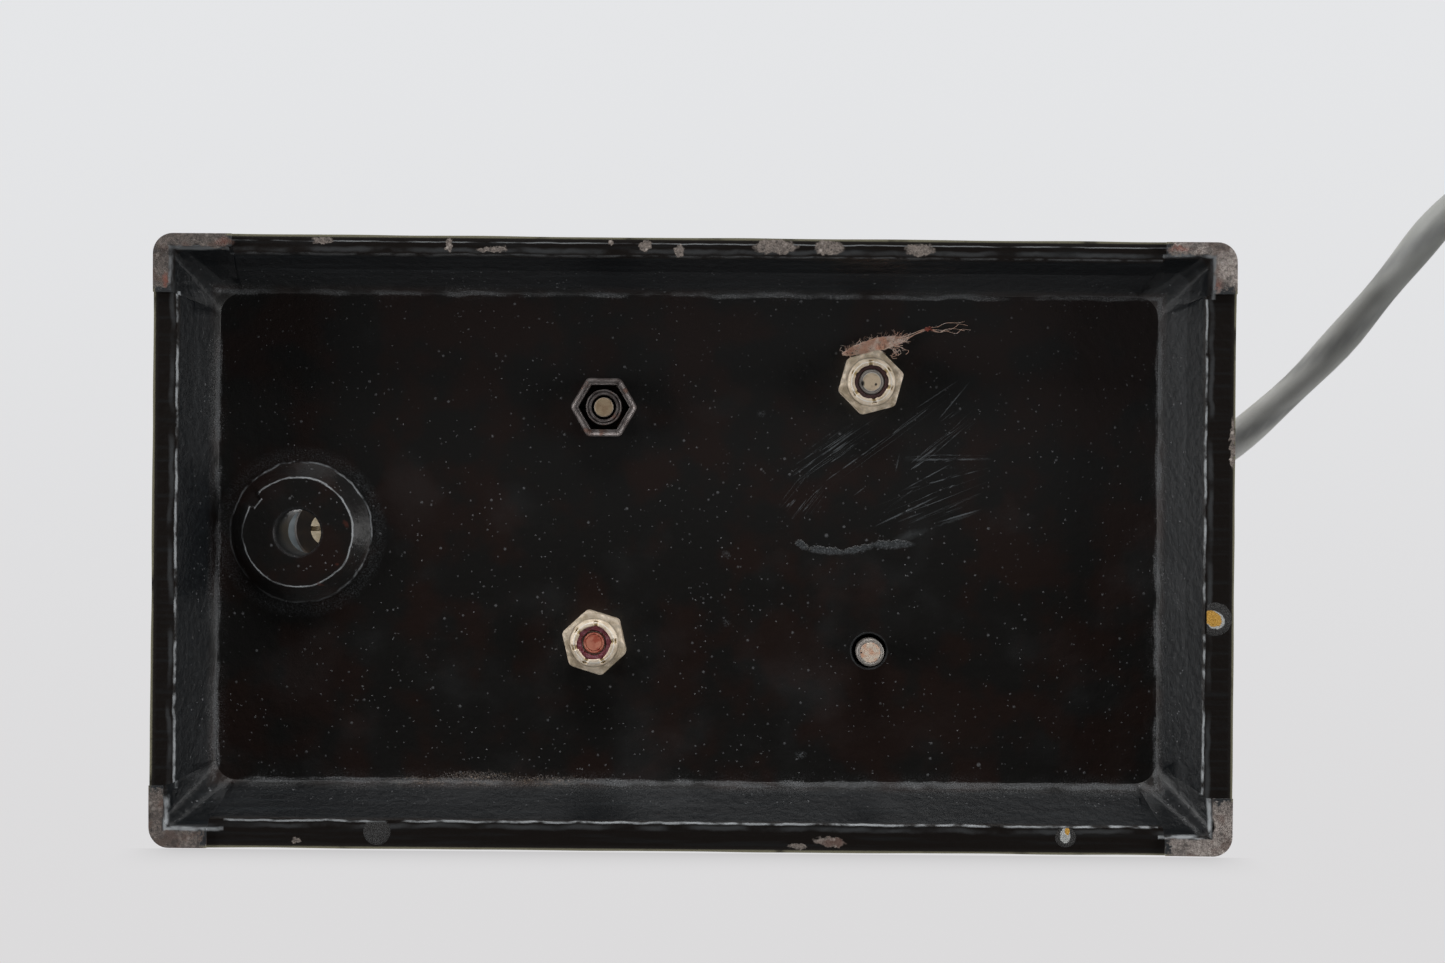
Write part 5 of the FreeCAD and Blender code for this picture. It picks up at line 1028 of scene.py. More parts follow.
def bare_iron(node, point, at, colour):
    """Bare iron: the feet but for a margin of enamel, the rim's chips and its outer arris; painted glints
    fleck the feet, and a painted highlight greys the enamel over their ends.
    """
    foot = node("MapRange", {0: at.z, 1: 0.8, 2: 0.4})
    margin = plus(node, at.beyond_pocket, at.wave, at.wave, at.wander)
    crept = marks(node, point, foot_ends(), 2.0, 0.5)
    # The enamel crept over the feet's ends is real; its grey is a painted highlight on the step there.
    colour = layered(node, colour, (both(node, foot, crept, 0.6), "#44474a"))
    at.foot = but_not(node, both(node, foot, node("MapRange", {0: margin, 1: 0.1, 2: 0.6})), crept)
    chips = both(node, marks(node, point, RIM_CHIPS, 0.9, 0.2), at.low)
    arris = node("MapRange", {0: at.edge, 1: -0.15, 2: 0.15})
    arris = both(node, arris, node("MapRange", {0: at.z, 1: 2.6, 2: 1.2}))
    arris = both(node, arris, blotches(node, point, 7, 0.25, 0.45), 0.85)
    grain = node("TexNoise", {"Vector": point, "Scale": 1.5, "Detail": 8, "Roughness": 0.8})
    at.grain = node("MapRange", {0: grain, 1: 0.36, 2: 0.64})
    pale_side = node("MapRange", {0: at.x, 1: 30.0, 2: -30.0})
    pale_iron = layered(node, "#4b403a", (at.grain, "#cfc3bb"))
    red = both(node, marks(node, point, FOOT_RUST, 1.0, 0.7), at.low)
    rust = both(node, blotches(node, point, 3.4, 0.5, 0.62, 5), 0.6)
    shaded = both(node, blotches(node, point, 5.0, 0.42, 0.6, 5), 0.4)
    remnant = both(node, blotches(node, point, 2.4, 0.56, 0.66, 5), 0.6)
    # Painted glints: pale flecks on the bare iron of the feet, as light off its grains.
    rubbed = both(node, flecks(node, point, 1.3, 0.5, 0.4), at.patchy, 0.3)
    iron = layered(node, "#231d1a", (at.grain, "#897c74"), (pale_side, pale_iron), (rust, "#5a4034"))
    iron = layered(node, iron, (both(node, red, 0.75), "#8a4632"), (shaded, "#332a25"))
    iron = layered(node, iron, (remnant, "#2a2320"), (rubbed, "#d8cec6"))
    pale = both(node, either(node, both(node, at.grit, 0.5), flecks(node, point, 1.2, 0.42, 0.45)), 0.7)
    flaked = layered(node, "#1e1a18", (at.grain, "#93877f"), (pale, "#cdc2ba"))
    flaked = layered(node, flaked, (both(node, red, 0.7), "#57362b"))
    at.bare = either(node, at.foot, chips)
    return layered(node, colour, (arris, "#8a8670"), (chips, flaked), (at.foot, iron))


def black_enamel():
    """Thick stoving enamel brushed over rough cast iron: glossy black, browned where it is thin,
    dusty in its corners, worn to the brown iron on the feet and along the rim, with painted highlights along
    its lips and edges and painted shade in its bore."""
    material, node, shader, point = new_finish("stoved_black_enamel")
    at = enamel_zones(node, point)
    colour = sound_enamel(node, point, at)
    for layer in (settled_dust, worn_lines, scored_plate, bare_iron):
        colour = layer(node, point, at, colour)
    gloss = plus(node, node("MapRange", {0: at.fine, 3: 0.24, 4: 0.36}), both(node, at.outer, 0.12))
    raised = either(node, at.dust, at.gouge, at.heap, at.line)
    dull = either(node, raised, at.bare, at.bore, at.bright, both(node, at.cut, 0.6))
    rough = node("Mix", {0: dull, 2: gloss, 3: 0.62})
    raised = either(node, raised, both(node, at.foot, at.grain))
    orange_peel = node("TexNoise", {"Vector": point, "Scale": 0.55, "Detail": 3})
    relief = node("Bump", {"Height": orange_peel, "Distance": 0.25 * MM, "Strength": 0.5})
    relief = node("Bump", {"Height": at.fine, "Distance": 0.05 * MM, "Strength": 0.6, "Normal": relief})
    relief = node("Bump", {"Height": raised, "Distance": 0.15 * MM, "Normal": relief})
    plug(shader, {"Base Color": colour, "Roughness": rough, "Normal": relief, "IOR": 1.5})
    return material


base_casting()


# ------------------------------------------------------------------ fasteners under the deck

NUT_FLATS = 11.1
NUT_LOW = 10.8
COLLAR_LOW = 9.3
STUD_LOW = 9.5
STUD_WIDE = 3.12
STUD_ENDS = {"back_left": 2.45, "front_right": 2.02, "front_left": 2.6, "back_right": 1.88}
STUD_TOP = 26.0
THREAD = 0.9
# A notch in a stiff nut's collar: half its width in degrees, and its depth.
NOTCH_WIDE = 8
NOTCH_DEEP = 0.42
# A stiff nut's collar: where a corner of its hexagon points, and its six notches, in degrees.
STIFF_NUTS = {
    "back_left": (45, (87, 143, 197, 262, 324, 26)),
    "front_right": (17, (96, 175, 243, 294, 346, 35)),
}
FIBRE_HOLES = {"back_left": 2.5, "front_right": 2.38}


def hexagon(bm, place, turn, low, high):
    """A hexagonal prism with its bottom face returned, so that it can be worked further."""
    to_place = Matrix.Translation((*place, low)) @ Matrix.Rotation(math.radians(turn - 90), 4, "Z")
    radius = NUT_FLATS / math.sqrt(3)
    made = bmesh.ops.create_circle(bm, cap_ends=True, segments=6, radius=radius, matrix=to_place)
    bottom = made["verts"][0].link_faces[0]
    grown = bmesh.ops.extrude_face_region(bm, geom=[bottom], use_keep_orig=True)["geom"]
    bmesh.ops.translate(bm, vec=(0, 0, high - low), verts=only(BMVert, grown))
    sides = linked(made["verts"])
    upright = [edge for edge in sides if abs(edge.verts[0].co.z - edge.verts[1].co.z) > 1]
    rounding = {"offset": 0.55, "segments": 3, "profile": 0.5, "material": -1}
    bmesh.ops.bevel(bm, geom=upright, affect="EDGES", clamp_overlap=True, **rounding)
    level = [face for face in bm.faces if all(abs(vert.co.z - low) < 0.01 for vert in face.verts)]
    return max(level, key=lambda face: face.calc_area())


def threaded(low, high, radius=STUD_WIDE):
    """The zigzag outline of a screw thread between two heights."""
    count = round((high - low) / THREAD * 2)
    return [(radius - 0.25 * (step % 2), low + (high - low) * step / count) for step in range(count + 1)]


def mounting_studs():
    """Four studs: three with a flat turned end and one turned down to a small nose."""
    bm = bmesh.new()
    nose = [(0, 12.3), (1.6, 12.3), (1.84, 12.5), (1.88, 15.0), (2.9, 15.1)]
    for name, place in STUDS.items():
        wide = STUD_ENDS[name]
        low = STUD_LOW + 0.3
        end = [(0, low + 0.06), (0.5 * wide, low), (0.7 * wide, low), (0.74 * wide, low + 0.14)]
        end += [(0.79 * wide, low + 0.14), (0.84 * wide, low), (0.94 * wide, low + 0.06), (wide, low + 0.25)]
        shank = threaded(15.3, STUD_TOP) if name == "back_right" else threaded(low + 0.5, STUD_TOP, wide)
        outline = nose + shank if name == "back_right" else end + shank
        spun(bm, outline + [(0, STUD_TOP)], place, steps=48)
    return finished("turned_studs", bm, [stud_steel()], "case", ["mounting_studs"], 30)


def stiff_nuts():
    """Two hexagon nuts with a crimped collar, whose six pads hold the fibre ring."""
    bm = bmesh.new()
    notched = bm.verts.layers.float.new("notch")
    for name, (turn, notches) in STIFF_NUTS.items():
        place = STUDS[name]
        bottom = hexagon(bm, place, turn, NUT_LOW, DECK_LOW)
        bmesh.ops.inset_region(bm, faces=[bottom], thickness=0.45, depth=0.28)
        bmesh.ops.inset_region(bm, faces=[bottom], thickness=0.35, depth=0.04)
        collar = [(3.12, 12.0), (3.12, 10.0), (3.2, 9.55), (3.36, COLLAR_LOW), (3.78, COLLAR_LOW)]
        collar += [(3.95, 9.42), (4.02, 9.62), (4.3, 9.8), (4.55, 10.25), (4.7, NUT_LOW)]
        for vert in spun(bm, collar, place, steps=144):
            out, angle = from_axis(vert, place)
            nearest = min(abs((angle - notch + 180) % 360 - 180) for notch in notches)
            inside = max(0.0, 1 - nearest / NOTCH_WIDE) if vert.co.z < 9.7 else 0.0
            vert[notched] = min(1.0, 2.2 * inside)
            vert.co.z += NOTCH_DEEP * vert[notched]
            wave = 0.07 * math.cos(math.radians(6 * angle + 40))
            vert.co += out.normalized() * (wave if vert.co.z < 10.3 else 0)
    uneven(bm, 0.09, 1.7)
    return finished("crimped_nuts", bm, [cadmium_plate()], "case", ["stiff_nuts"], 38)


def fibre_inserts():
    """The red fibre rings, squeezed into lobes between the pads and cut by the thread."""
    bm = bmesh.new()
    for name, (turn, _) in STIFF_NUTS.items():
        place = STUDS[name]
        inner = FIBRE_HOLES[name]
        outline = [(inner + 0.15, 10.6), (inner, 10.0), (inner + 0.1, 9.72)]
        outline += [(2.9, 9.62), (3.3, 9.68), (3.3, 10.6)]
        for vert in spun(bm, outline, place, steps=96, closed=True):
            out, angle = from_axis(vert, place)
            vert.co += out.normalized() * 0.07 * math.cos(6 * math.radians(angle) + turn)
            vert.co.z += 0.05 * noise.noise(vert.co * 1.6)
    return finished("fibre_rings", bm, [red_fibre()], "case", ["fibre_inserts"], 50)


def pressed_nut():
    """A cup of sheet steel with a rolled hexagonal rim and a turned sleeve round the thread."""
    bm = bmesh.new()
    place = STUDS["back_right"]
    bottom = hexagon(bm, place, 0, 11.8, DECK_LOW)
    for thickness, depth in ((0.22, 0), (0.28, -0.28), (0.5, -0.1), (0.22, 0.1), (0.12, -0.6), (0.05, -2.4)):
        bmesh.ops.inset_region(bm, faces=[bottom], thickness=thickness, depth=depth)
    sleeve = [(2.3, 15.0), (2.34, 12.7), (2.45, 12.5), (2.8, 12.45), (2.92, 12.7), (3.05, 12.7)]
    sleeve += [(3.15, 12.35), (3.32, 12.3), (3.42, 12.45), (3.5, 15.4)]
    spun(bm, sleeve, place, steps=64)
    uneven(bm, 0.05, 1.5)
    return finished("pressed_nut", bm, [spring_steel()], "case", ["pressed_lock_nut"], 40)


# ------------------------------------------------------------------ earthing braid

BRAID_ENDS = (Vector((-28.2, 36.3, 14.6)), Vector((-39.8, 39.4, 14.8)))
BRAID_STRANDS = 90
BRAID_FUZZ = 150
BRAID_HAIRS = 80
TAIL_KNOT = Vector((-44.6, 41.5, 14.9))
TAIL_END = Vector((-53.0, 42.0, 15.3))


def threads(name, lines, material, body, stands_for=()):
    """Round threads as one mesh: each line is a list of points in millimetres and a radius."""
    curve = bpy.data.curves.new(name, "CURVE")
    curve.dimensions = "3D"
    curve.resolution_u = 3
    curve.bevel_depth = MM
    curve.bevel_resolution = 1
    curve.use_fill_caps = True
    for points, radius in lines:
        spline = curve.splines.new("NURBS")
        spline.points.add(len(points) - 1)
        for control, point in zip(spline.points, points):
            control.co = (*(Vector(point) * MM), 1)
            control.radius = radius
        spline.order_u = 3
        spline.use_endpoint_u = True
    holder = bpy.data.objects.new(name, curve)
    mesh = bpy.data.meshes.new_from_object(holder)
    bpy.data.objects.remove(holder)
    mesh.name = name
    mesh.materials.clear()
    mesh.shade_smooth()
    return placed(name, mesh, [material], body, stands_for)


def wandering(start, end, steps, amount, size):
    """Points from start to end that wander off the straight line by a smooth random field."""
    points = []
    place = Vector([random.uniform(0, 90) for _ in range(3)])
    for step in range(steps + 1):
        share = step / steps
        spot = start.lerp(end, share)
        points.append(spot + noise.noise_vector(spot / size + place) * amount * math.sin(math.pi * share))
    return points


def braid_edges(share):
    """The lower and upper edges of the flattened stub: it hugs the nut and thins at both ends."""
    base = BRAID_ENDS[0].lerp(BRAID_ENDS[1], share)
    arch = math.sin(math.pi * share)
    low = base + Vector((0, -0.9 * arch - 1.1 * max(0, share - 0.55), 0))
    high = base + Vector((0, 0.35 + 1.15 * arch**0.7, 0))
    return low, high


def woven_strands():
    """The strands of the stub, each weaving from edge to edge along its own part of the length."""
    lines = []
    for index in range(BRAID_STRANDS):
        offset = random.uniform(0, TURN)
        points = []
        first, last = sorted((random.uniform(-0.04, 0.5), random.uniform(0.5, 1.04)))
        for step in range(15):
            share = first + (last - first) * step / 14
            low, high = braid_edges(min(1, max(0, share)))
            across = 0.5 + 0.5 * math.sin(offset + (1 if index % 2 else -1) * TURN * 1.3 * share)
            spot = low.lerp(high, across) + Vector((0, 0, random.uniform(-0.3, 0.3)))
            points.append(spot + noise.noise_vector(spot * 1.1 + Vector((index, 0, 0))) * 0.3)
        lines.append((points, random.uniform(0.045, 0.085)))
    return lines


def broken_wires():
    """Short wires broken off along the stub, all leaning its way, and finer hairs on its back."""
    lines = []
    for _ in range(BRAID_FUZZ):
        low, high = braid_edges(random.random())
        root = low.lerp(high, random.random()) + Vector((0, 0, random.uniform(-0.5, 0.3)))
        lean = random.gauss(3.0, 0.55)
        tip = root + Vector((math.cos(lean), math.sin(lean), 0)) * random.uniform(0.8, 2.2)
        lines.append((wandering(root, tip, 5, 0.7, 0.8), random.uniform(0.03, 0.055)))
    for _ in range(BRAID_HAIRS):
        low, high = braid_edges(random.random())
        root = low.lerp(high, random.uniform(0.4, 1.0))
        away = Vector((random.gauss(0, 1), abs(random.gauss(0, 0.7)), random.uniform(-0.5, 0.2)))
        tip = root + away.normalized() * random.uniform(0.6, 2.3)
        lines.append((wandering(root, tip, 6, 1.2, 0.9), random.uniform(0.01, 0.02)))
    return lines


def loose_end():
    """Curls at the stub's far end, and a few wires that run from it to a knot and fray beyond."""
    lines = []
    end = BRAID_ENDS[1]
    for _ in range(9):
        turn = random.uniform(0, TURN)
        middle = end + Vector((random.uniform(-0.5, 1.9), random.uniform(-3.4, 0.2), -0.2))
        curl = [Vector((math.cos(turn + step), 0.7 * math.sin(turn + step), 0)) for step in range(5)]
        loop = [middle + way * random.uniform(0.6, 0.8) for way in curl]
        lines.append((loop, random.uniform(0.03, 0.055)))
    for _ in range(3):
        aside = Vector((0, random.gauss(0, 0.1), random.gauss(0, 0.1)))
        lines.append((wandering(end + aside * 4, TAIL_KNOT + aside, 8, 0.3, 2.5), 0.055))
    for _ in range(5):
        tip = TAIL_END + Vector((random.uniform(-0.6, 5), random.gauss(0, 0.5), random.gauss(0, 0.2)))
        lines.append((wandering(TAIL_KNOT, tip, 9, 1.7, 3.0), random.uniform(0.03, 0.05)))
    for _ in range(9):
        around = Vector((random.gauss(0, 0.3), random.gauss(0, 0.2), random.gauss(0, 0.1)))
        lines.append((wandering(TAIL_KNOT + around, TAIL_KNOT - around * 1.4, 5, 1.0, 0.5), 0.06))
    return lines


def earth_braid():
    """The frayed stub of a flat copper braid against the nut."""
    lines = woven_strands() + broken_wires() + loose_end()
    return threads("frayed_braid", lines, copper_braid(), "case", ["earth_braid_stub"])


# ------------------------------------------------------------------ filled holes in the rim

FILLERS = [(58.8, -54.3, 2.6), (-98.0, -13.1, 3.2), (-70.3, -54.2, 2.0)]
# The rim's sides, past which the fillers are cut off: whether it is the side at the cable's end, a
# place on it, and the way out of the metal.
RIM_SIDES = [
    (True, (-96.4, 0, 0), (1, 0, 0)),
    (False, (0, -52.5, 0), (0, 1, 0)),
    (True, (-101.3, 0, 0), (-1, 0, 0)),
    (False, (0, -57.2, 0), (0, -1, 0)),
]


def rim_fillers():
    """Three drilled places in the rim, filled, painted over and rubbed back; they stand slightly proud."""
    bm = bmesh.new()
    for x, y, radius in FILLERS:
        dome = [(0, 0.84), (radius * 0.6, 0.86), (radius * 0.88, 0.9), (radius, 1.02), (radius, 3.4)]
        spun(bm, dome, (x, y), steps=48)
    for at_end, spot, normal in RIM_SIDES:
        beside = [vert for vert in bm.verts if at_end == (vert.co.x < -90)]
        faces = list(dict.fromkeys(face for vert in beside for face in vert.link_faces))
        part = beside + linked(beside) + faces
        cut = bmesh.ops.bisect_plane(bm, geom=part, plane_co=spot, plane_no=normal, clear_outer=True)
        bmesh.ops.holes_fill(bm, edges=only(BMEdge, cut["geom_cut"]), sides=0)
    uneven(bm, 0.05, 0.9)
    return finished("rubbed_fillers", bm, [body_filler()], "case", ["rim_filler_plugs"], 40)


# ------------------------------------------------------------------ finishes of the underside pieces


def stud_steel():
    """Old plated studs: turned rings on their ends, each stained its own way, with a painted highlight round
    each end's core and painted shade on their sides.
    """
    material, node, shader, point = new_finish("stained_stud_steel")
    fine, rough, relief = grained(node, point, 3.0, 0.12, (0.34, 0.6), strength=0.8)
    stain = blotches(node, point, 1.3, 0.42, 0.62, 5)
    colour = layered(node, "#7f7a76", (fine, "#b9b3ac"))
    height = node("SeparateXYZ", {0: point}, out=2)
    end = node("MapRange", {0: height, 1: 13.0, 2: 12.4})
    metal = 0.6
    cores = {
        "back_right": ("#d2b894", "#bd9f7b", 1.9),
        "front_right": ("#c47c66", "#a8523f", 2.1),
        "back_left": ("#cdbaa0", "#b3a089", 1.78),
        "front_left": ("#d8c9b8", "#cfa48a", 2.0),
    }
    for name, (pale, deep, radius) in cores.items():
        away, _ = off_axis(node, point, (*STUDS[name], 0))
        ragged = plus(node, away, both(node, fine, 0.2))
        core = both(node, node("MapRange", {0: ragged, 1: radius + 0.15, 2: radius}), end)
        # Painted highlight: a bright ring round the edge of each end's core.
        bright = both(node, hairline(node, plus(node, away, -radius), 0.08), end, 0.8)
        cake = layered(node, pale, (stain, deep))
        colour = layered(node, colour, (core, cake), (bright, "#dcd9d4"))
        metal = but_not(node, metal, core)
    pits = [(-31.9, 30.8, 0.45, 0.7, 0), (-34.4, 30.6, 0.32, 0.32, 0), (-32.1, -20.4, 0.25, 0.25, 0)]
    pit = marks(node, point, pits, 0.15, 0.5)
    # Painted shade: the studs' sides darken where they stand in the deck's holes.
    side = both(node, node("MapRange", {0: height, 1: 10.4, 2: 13.0}), 0.7)
    colour = layered(node, colour, (pit, "#2a2522"), (side, "#3b3531"))
    plug(shader, {"Base Color": colour, "Roughness": rough, "Metallic": metal, "Normal": relief})
    return material


def cadmium_plate():
    """Old cadmium plating: cream grey, yellowed in the hollows, rubbed bright on the corners, with a painted
    highlight round the pads and a line of painted shade where the collar meets the nut.
    """
    material, node, shader, point = new_finish("yellowed_cadmium_plate")
    fine, rough, relief = grained(node, point, 4.0, 0.1, (0.32, 0.58), strength=0.7)
    cloud = blotches(node, point, 2.0, 0.4, 0.62, 5)
    notch = node("Attribute", {}, out="Fac", attribute_name="notch")
    places = [off_axis(node, point, (*STUDS[name], 0))[0] for name in STIFF_NUTS]
    away = node("Math", {0: places[0], 1: places[1]}, operation="MINIMUM")
    wave = wobbly(node, point, 1.5, 0.08)
    # Painted highlight: a bright line round the edge of the pads.
    pads = hairline(node, plus(node, away, -3.82, wave), 0.07)
    # Painted shade: a dark line where the collar meets the nut.
    collar = hairline(node, plus(node, away, -4.62, wave), 0.1)
    height = node("SeparateXYZ", {0: point}, out=2)
    grime = node("MapRange", {0: height, 1: 9.9, 2: 10.7})
    grime = both(node, grime, blotches(node, point, 1.2, 0.35, 0.6), 0.5)
    flats = both(node, node("MapRange", {0: away, 1: 4.7, 2: 5.0}), cloud, 0.6)
    rubbed = node("MapRange", {0: fine, 1: 0.5, 2: 0.7})
    colour = layered(node, "#f4e2ca", (cloud, "#d2bea2"), (rubbed, "#fbf3e8"), (flats, "#c3b196"))
    colour = layered(node, colour, (grime, "#6e5f48"), (both(node, notch, 0.8), "#c0a56c"))
    colour = layered(node, colour, (both(node, collar, 0.5), "#5f5442"), (both(node, pads, 0.95), "#fbf6ee"))
    plug(shader, {"Base Color": colour, "Roughness": rough, "Metallic": 0.1, "Normal": relief})
    return material


def red_fibre():
    """Vulcanised fibre: dark red, matt, paler and greyer where the thread has rubbed it."""
    material, node, shader, point = new_finish("vulcanised_red_fibre")
    fine = node("TexNoise", {"Vector": point, "Scale": 5.0, "Detail": 6, "Roughness": 0.7})
    rubbed = blotches(node, point, 1.1, 0.45, 0.65, 4)
    front = node("Math", {0: node("SeparateXYZ", {0: point}, out=0), 1: 0.0}, operation="GREATER_THAN")
    red = layered(node, "#3b1714", (front, "#6e2630"))
    worn = layered(node, "#2c1210", (front, "#84505c"))
    colour = layered(node, red, (both(node, rubbed, 0.8), worn))
    relief = node("Bump", {"Height": fine, "Distance": 0.14 * MM})
    plug(shader, {"Base Color": colour, "Roughness": 0.55, "Normal": relief})
    return material


def spring_steel():
    """Spring steel with most of its plating gone: grey on the rolled rim, rust-brown inside."""
    material, node, shader, point = new_finish("dull_spring_steel")
    _, rough, relief = grained(node, point, 3.5, 0.1, (0.34, 0.58), strength=0.7)
    cloud = blotches(node, point, 1.6, 0.42, 0.62, 5)
    inner = node("MapRange", {0: node("SeparateXYZ", {0: point}, out=2), 1: 12.9, 2: 13.6})
    rust = both(node, blotches(node, point, 1.9, 0.56, 0.66, 5), 0.7)
    colour = layered(node, "#8b8482", (cloud, "#6b6361"), (inner, "#241912"), (rust, "#6a4431"))
    metal = but_not(node, 0.8, either(node, rust, inner))
    plug(shader, {"Base Color": colour, "Roughness": rough, "Metallic": metal, "Normal": relief})
    return material


def copper_braid():
    """Fine tinned copper wire, dulled to pinkish brown, with brighter copper where it broke."""
    material, node, shader, point = new_finish("dulled_copper_wire")
    fine = node("TexNoise", {"Vector": point, "Scale": 2.4, "Detail": 6, "Roughness": 0.7})
    cloud = blotches(node, point, 1.6, 0.4, 0.62, 4)
    knot = marks(node, point, [(TAIL_KNOT.x, TAIL_KNOT.y, 1.1, 0.8, 20)], 0.3, 0.4)
    copper = node("MapRange", {0: fine, 1: 0.54, 2: 0.66})
    colour = layered(node, "#f0c6ae", (cloud, "#fdeadd"), (both(node, copper, 0.7), "#de8a56"))
    colour = layered(node, colour, (knot, "#b04a2e"))
    plug(shader, {"Base Color": colour, "Roughness": 0.5, "Sheen Weight": 0.7, "Sheen Roughness": 0.4})
    return material


def body_filler():
    """Filler painted black and rubbed: rough, with the mustard and white filler bare in two chips."""
    material, node, shader, point = new_finish("painted_body_filler")
    fine = node("TexNoise", {"Vector": point, "Scale": 2.2, "Detail": 6, "Roughness": 0.75})
    flecked = node("MapRange", {0: fine, 1: 0.55, 2: 0.72})
    white = marks(node, point, [(-97.9, -13.2, 2.0, 1.7, 35), (-70.2, -53.9, 1.0, 1.55, 0)], 0.35, 0.08)
    bare = marks(node, point, [(-97.5, -13.0, 1.9, 1.45, 35), (-70.6, -53.1, 0.45, 0.75, 0)], 0.3, 0.08)
    away, _ = off_axis(node, point, (-70.2, -53.9, 0))
    dark = both(node, hairline(node, plus(node, away, -1.7), 0.2), 0.7)
    mustard = layered(node, "#bd8a26", (fine, "#d9a53c"))
    colour = layered(node, "#161413", (both(node, flecked, 0.5), "#4b4f52"), (white, "#b4b6b4"))
    colour = layered(node, colour, (bare, mustard), (dark, "#1b1917"))
    relief = node("Bump", {"Height": fine, "Distance": 0.35 * MM})
    plug(shader, {"Base Color": colour, "Roughness": 0.6, "Normal": relief})
    return material


mounting_studs()
stiff_nuts()
fibre_inserts()
pressed_nut()
earth_braid()
rim_fillers()


# ------------------------------------------------------------------ finishes of the instrument on the base

# The axis of the moving coil, and the height of the dial's face.
PIVOT = (-8.0, -11.6)
DIAL_TOP = 61.4
# How far apart the lathe's tool left its marks.
LATHE_PITCH = 0.3


def lathe_lines(node, point, centre, along):
    """Turning marks round an axis: a noise of the distance from the axis and of the place along it."""
    away, depth = off_axis(node, point, centre, along)
    place = node("CombineXYZ", {0: away, 1: depth})
    return node("TexNoise", {"Vector": place, "Scale": 1 / LATHE_PITCH, "Detail": 2})


def lacquered_brass(name, centre, along):
    """Turned brass under gold lacquer: warm and glossy, brown where damp got in, with dark specks."""
    material, node, shader, point = new_finish("lacquered_brass_" + name)
    lines = lathe_lines(node, point, centre, along)
    cloud = blotches(node, point, 8, 0.35, 0.65)
    stain = blotches(node, point, 4.5, 0.57, 0.7, 6)
    specks = flecks(node, point, 3.4, 0.24, 0.3)
    polish = node("MapRange", {0: lines, 1: 0.5, 2: 0.72})
    colour = layered(node, "#c3a259", (both(node, cloud, 0.6), "#a88645"))
    colour = layered(node, colour, (both(node, polish, 0.4), "#dac48a"))
    colour = layered(node, colour, (both(node, stain, 0.7), "#6f5532"), (both(node, specks, 0.7), "#453623"))
    rough = plus(node, node("MapRange", {0: lines, 3: 0.18, 4: 0.36}), both(node, stain, 0.2))
    relief = node("Bump", {"Height": lines, "Distance": 0.03 * MM, "Strength": 0.6})
    plug(shader, {"Base Color": colour, "Roughness": rough, "Normal": relief, "Metallic": 1.0})
    return material


DRUM_AT = (-8, 4.4)
LENS_TILT = math.radians(20)
# What the turned brass pieces were turned about: a point of the axis, the way it runs and the nodes.
TURNED_BRASS = [
    ((*DRUM_AT, 0), (0, 0, 1), "case_drum bezel_ring"),
    ((-8, 0, 54), (0, 1, 0), "clamp_bush clamp_knob"),
    ((-8, -34, 0), (0, 0, 1), "terminal_stems"),
    ((-59.9, -34, 0), (0, 0, 1), "terminal_washer_left terminal_nut_left"),
    ((43.9, -34, 0), (0, 0, 1), "terminal_washer_right terminal_nut_right"),
    ((0, 1.5, 64), (1, 0, 0), "lamp_arm lamp_switch_key"),
    ((54.9, 1.5, 86.8), (math.cos(LENS_TILT), 0, math.sin(LENS_TILT)), "lens_tube"),
    ((0, 7, 40), (1, 0, 0), "cable_gland gland_nut"),
]

# Plain metals: two tones of the grain, a stain, least and most roughness, the grain's stretch and
# its size in millimetres, and the nodes that have them.
METALS = {
    # Satin brass, filed and grained along the movement, browned by handling.
    "grained_movement_brass": (
        ("#c2a059", "#9b7a3c", "#6b5029", 0.3, 0.46),
        ((0.1, 1.4, 1.4), 0.5),
        "magnet_pillars core_support upper_bridge lower_bridge jewel_screws balance_weights zero_arm "
        "dial_pillars clamp_leaf",
    ),
    # Polished steel, heated to a deep violet blue with a straw tinge where it stayed cooler.
    "blued_steel": (
        ("#2b3a66", "#1d2547", "#5b4a3a", 0.16, 0.32),
        ((1, 1, 1), 1.2),
        "flange_screws arm_screws pivot_staffs",
    ),
    # Ground iron: dull grey with a thin brown film of rust.
    "ground_soft_iron": (
        ("#7a7a7d", "#57575b", "#6a4b38", 0.36, 0.52),
        ((1.6, 1.6, 0.1), 0.5),
        "pole_pieces soft_iron_core",
    ),
    # Bent aluminium strip: pale grey with the rolling marks along it.
    "bare_aluminium": (("#c3c6c8", "#9ea2a5", "#7c7f80", 0.28, 0.45), ((1.4, 1.4, 0.1), 0.4), "coil_former"),
    # Thin springs of phosphor bronze: coppery and bright, browned in places.
    "phosphor_bronze": (
        ("#c08955", "#9a653a", "#5e3c27", 0.24, 0.4),
        ((1, 1, 1), 0.5),
        "upper_hairspring lower_hairspring",
    ),
    # Plug pins: brass rubbed bright and scored lengthways, with traces of nickel.
    "rubbed_pin_brass": (("#cfae5e", "#b08c43", "#9a958a", 0.22, 0.4), ((2, 0.08, 2), 0.4), "plug_pins"),
}


def worked_metal(name, tones, grain):
    """A bare metal: its grain in two tones and its roughness, with a stain over it in patches."""
    pale, deep, stain, least, most = tones
    stretch, size = grain
    material, node, shader, point = new_finish(name)
    place = node("Mapping", {"Vector": point, "Scale": stretch})
    lines = node("TexNoise", {"Vector": place, "Scale": 1 / size, "Detail": 5})
    cloud = blotches(node, point, 5)
    film = blotches(node, point, 2.6, 0.55, 0.72, 6)
    colour = layered(node, pale, (lines, deep), (both(node, cloud, 0.35), deep))
    colour = layered(node, colour, (both(node, film, 0.55), stain))
    rough = plus(node, node("MapRange", {0: lines, 3: least, 4: most}), both(node, film, 0.12))
    relief = node("Bump", {"Height": lines, "Distance": 0.03 * MM, "Strength": 0.7})
    plug(shader, {"Base Color": colour, "Roughness": rough, "Normal": relief, "Metallic": 1.0})
    return material


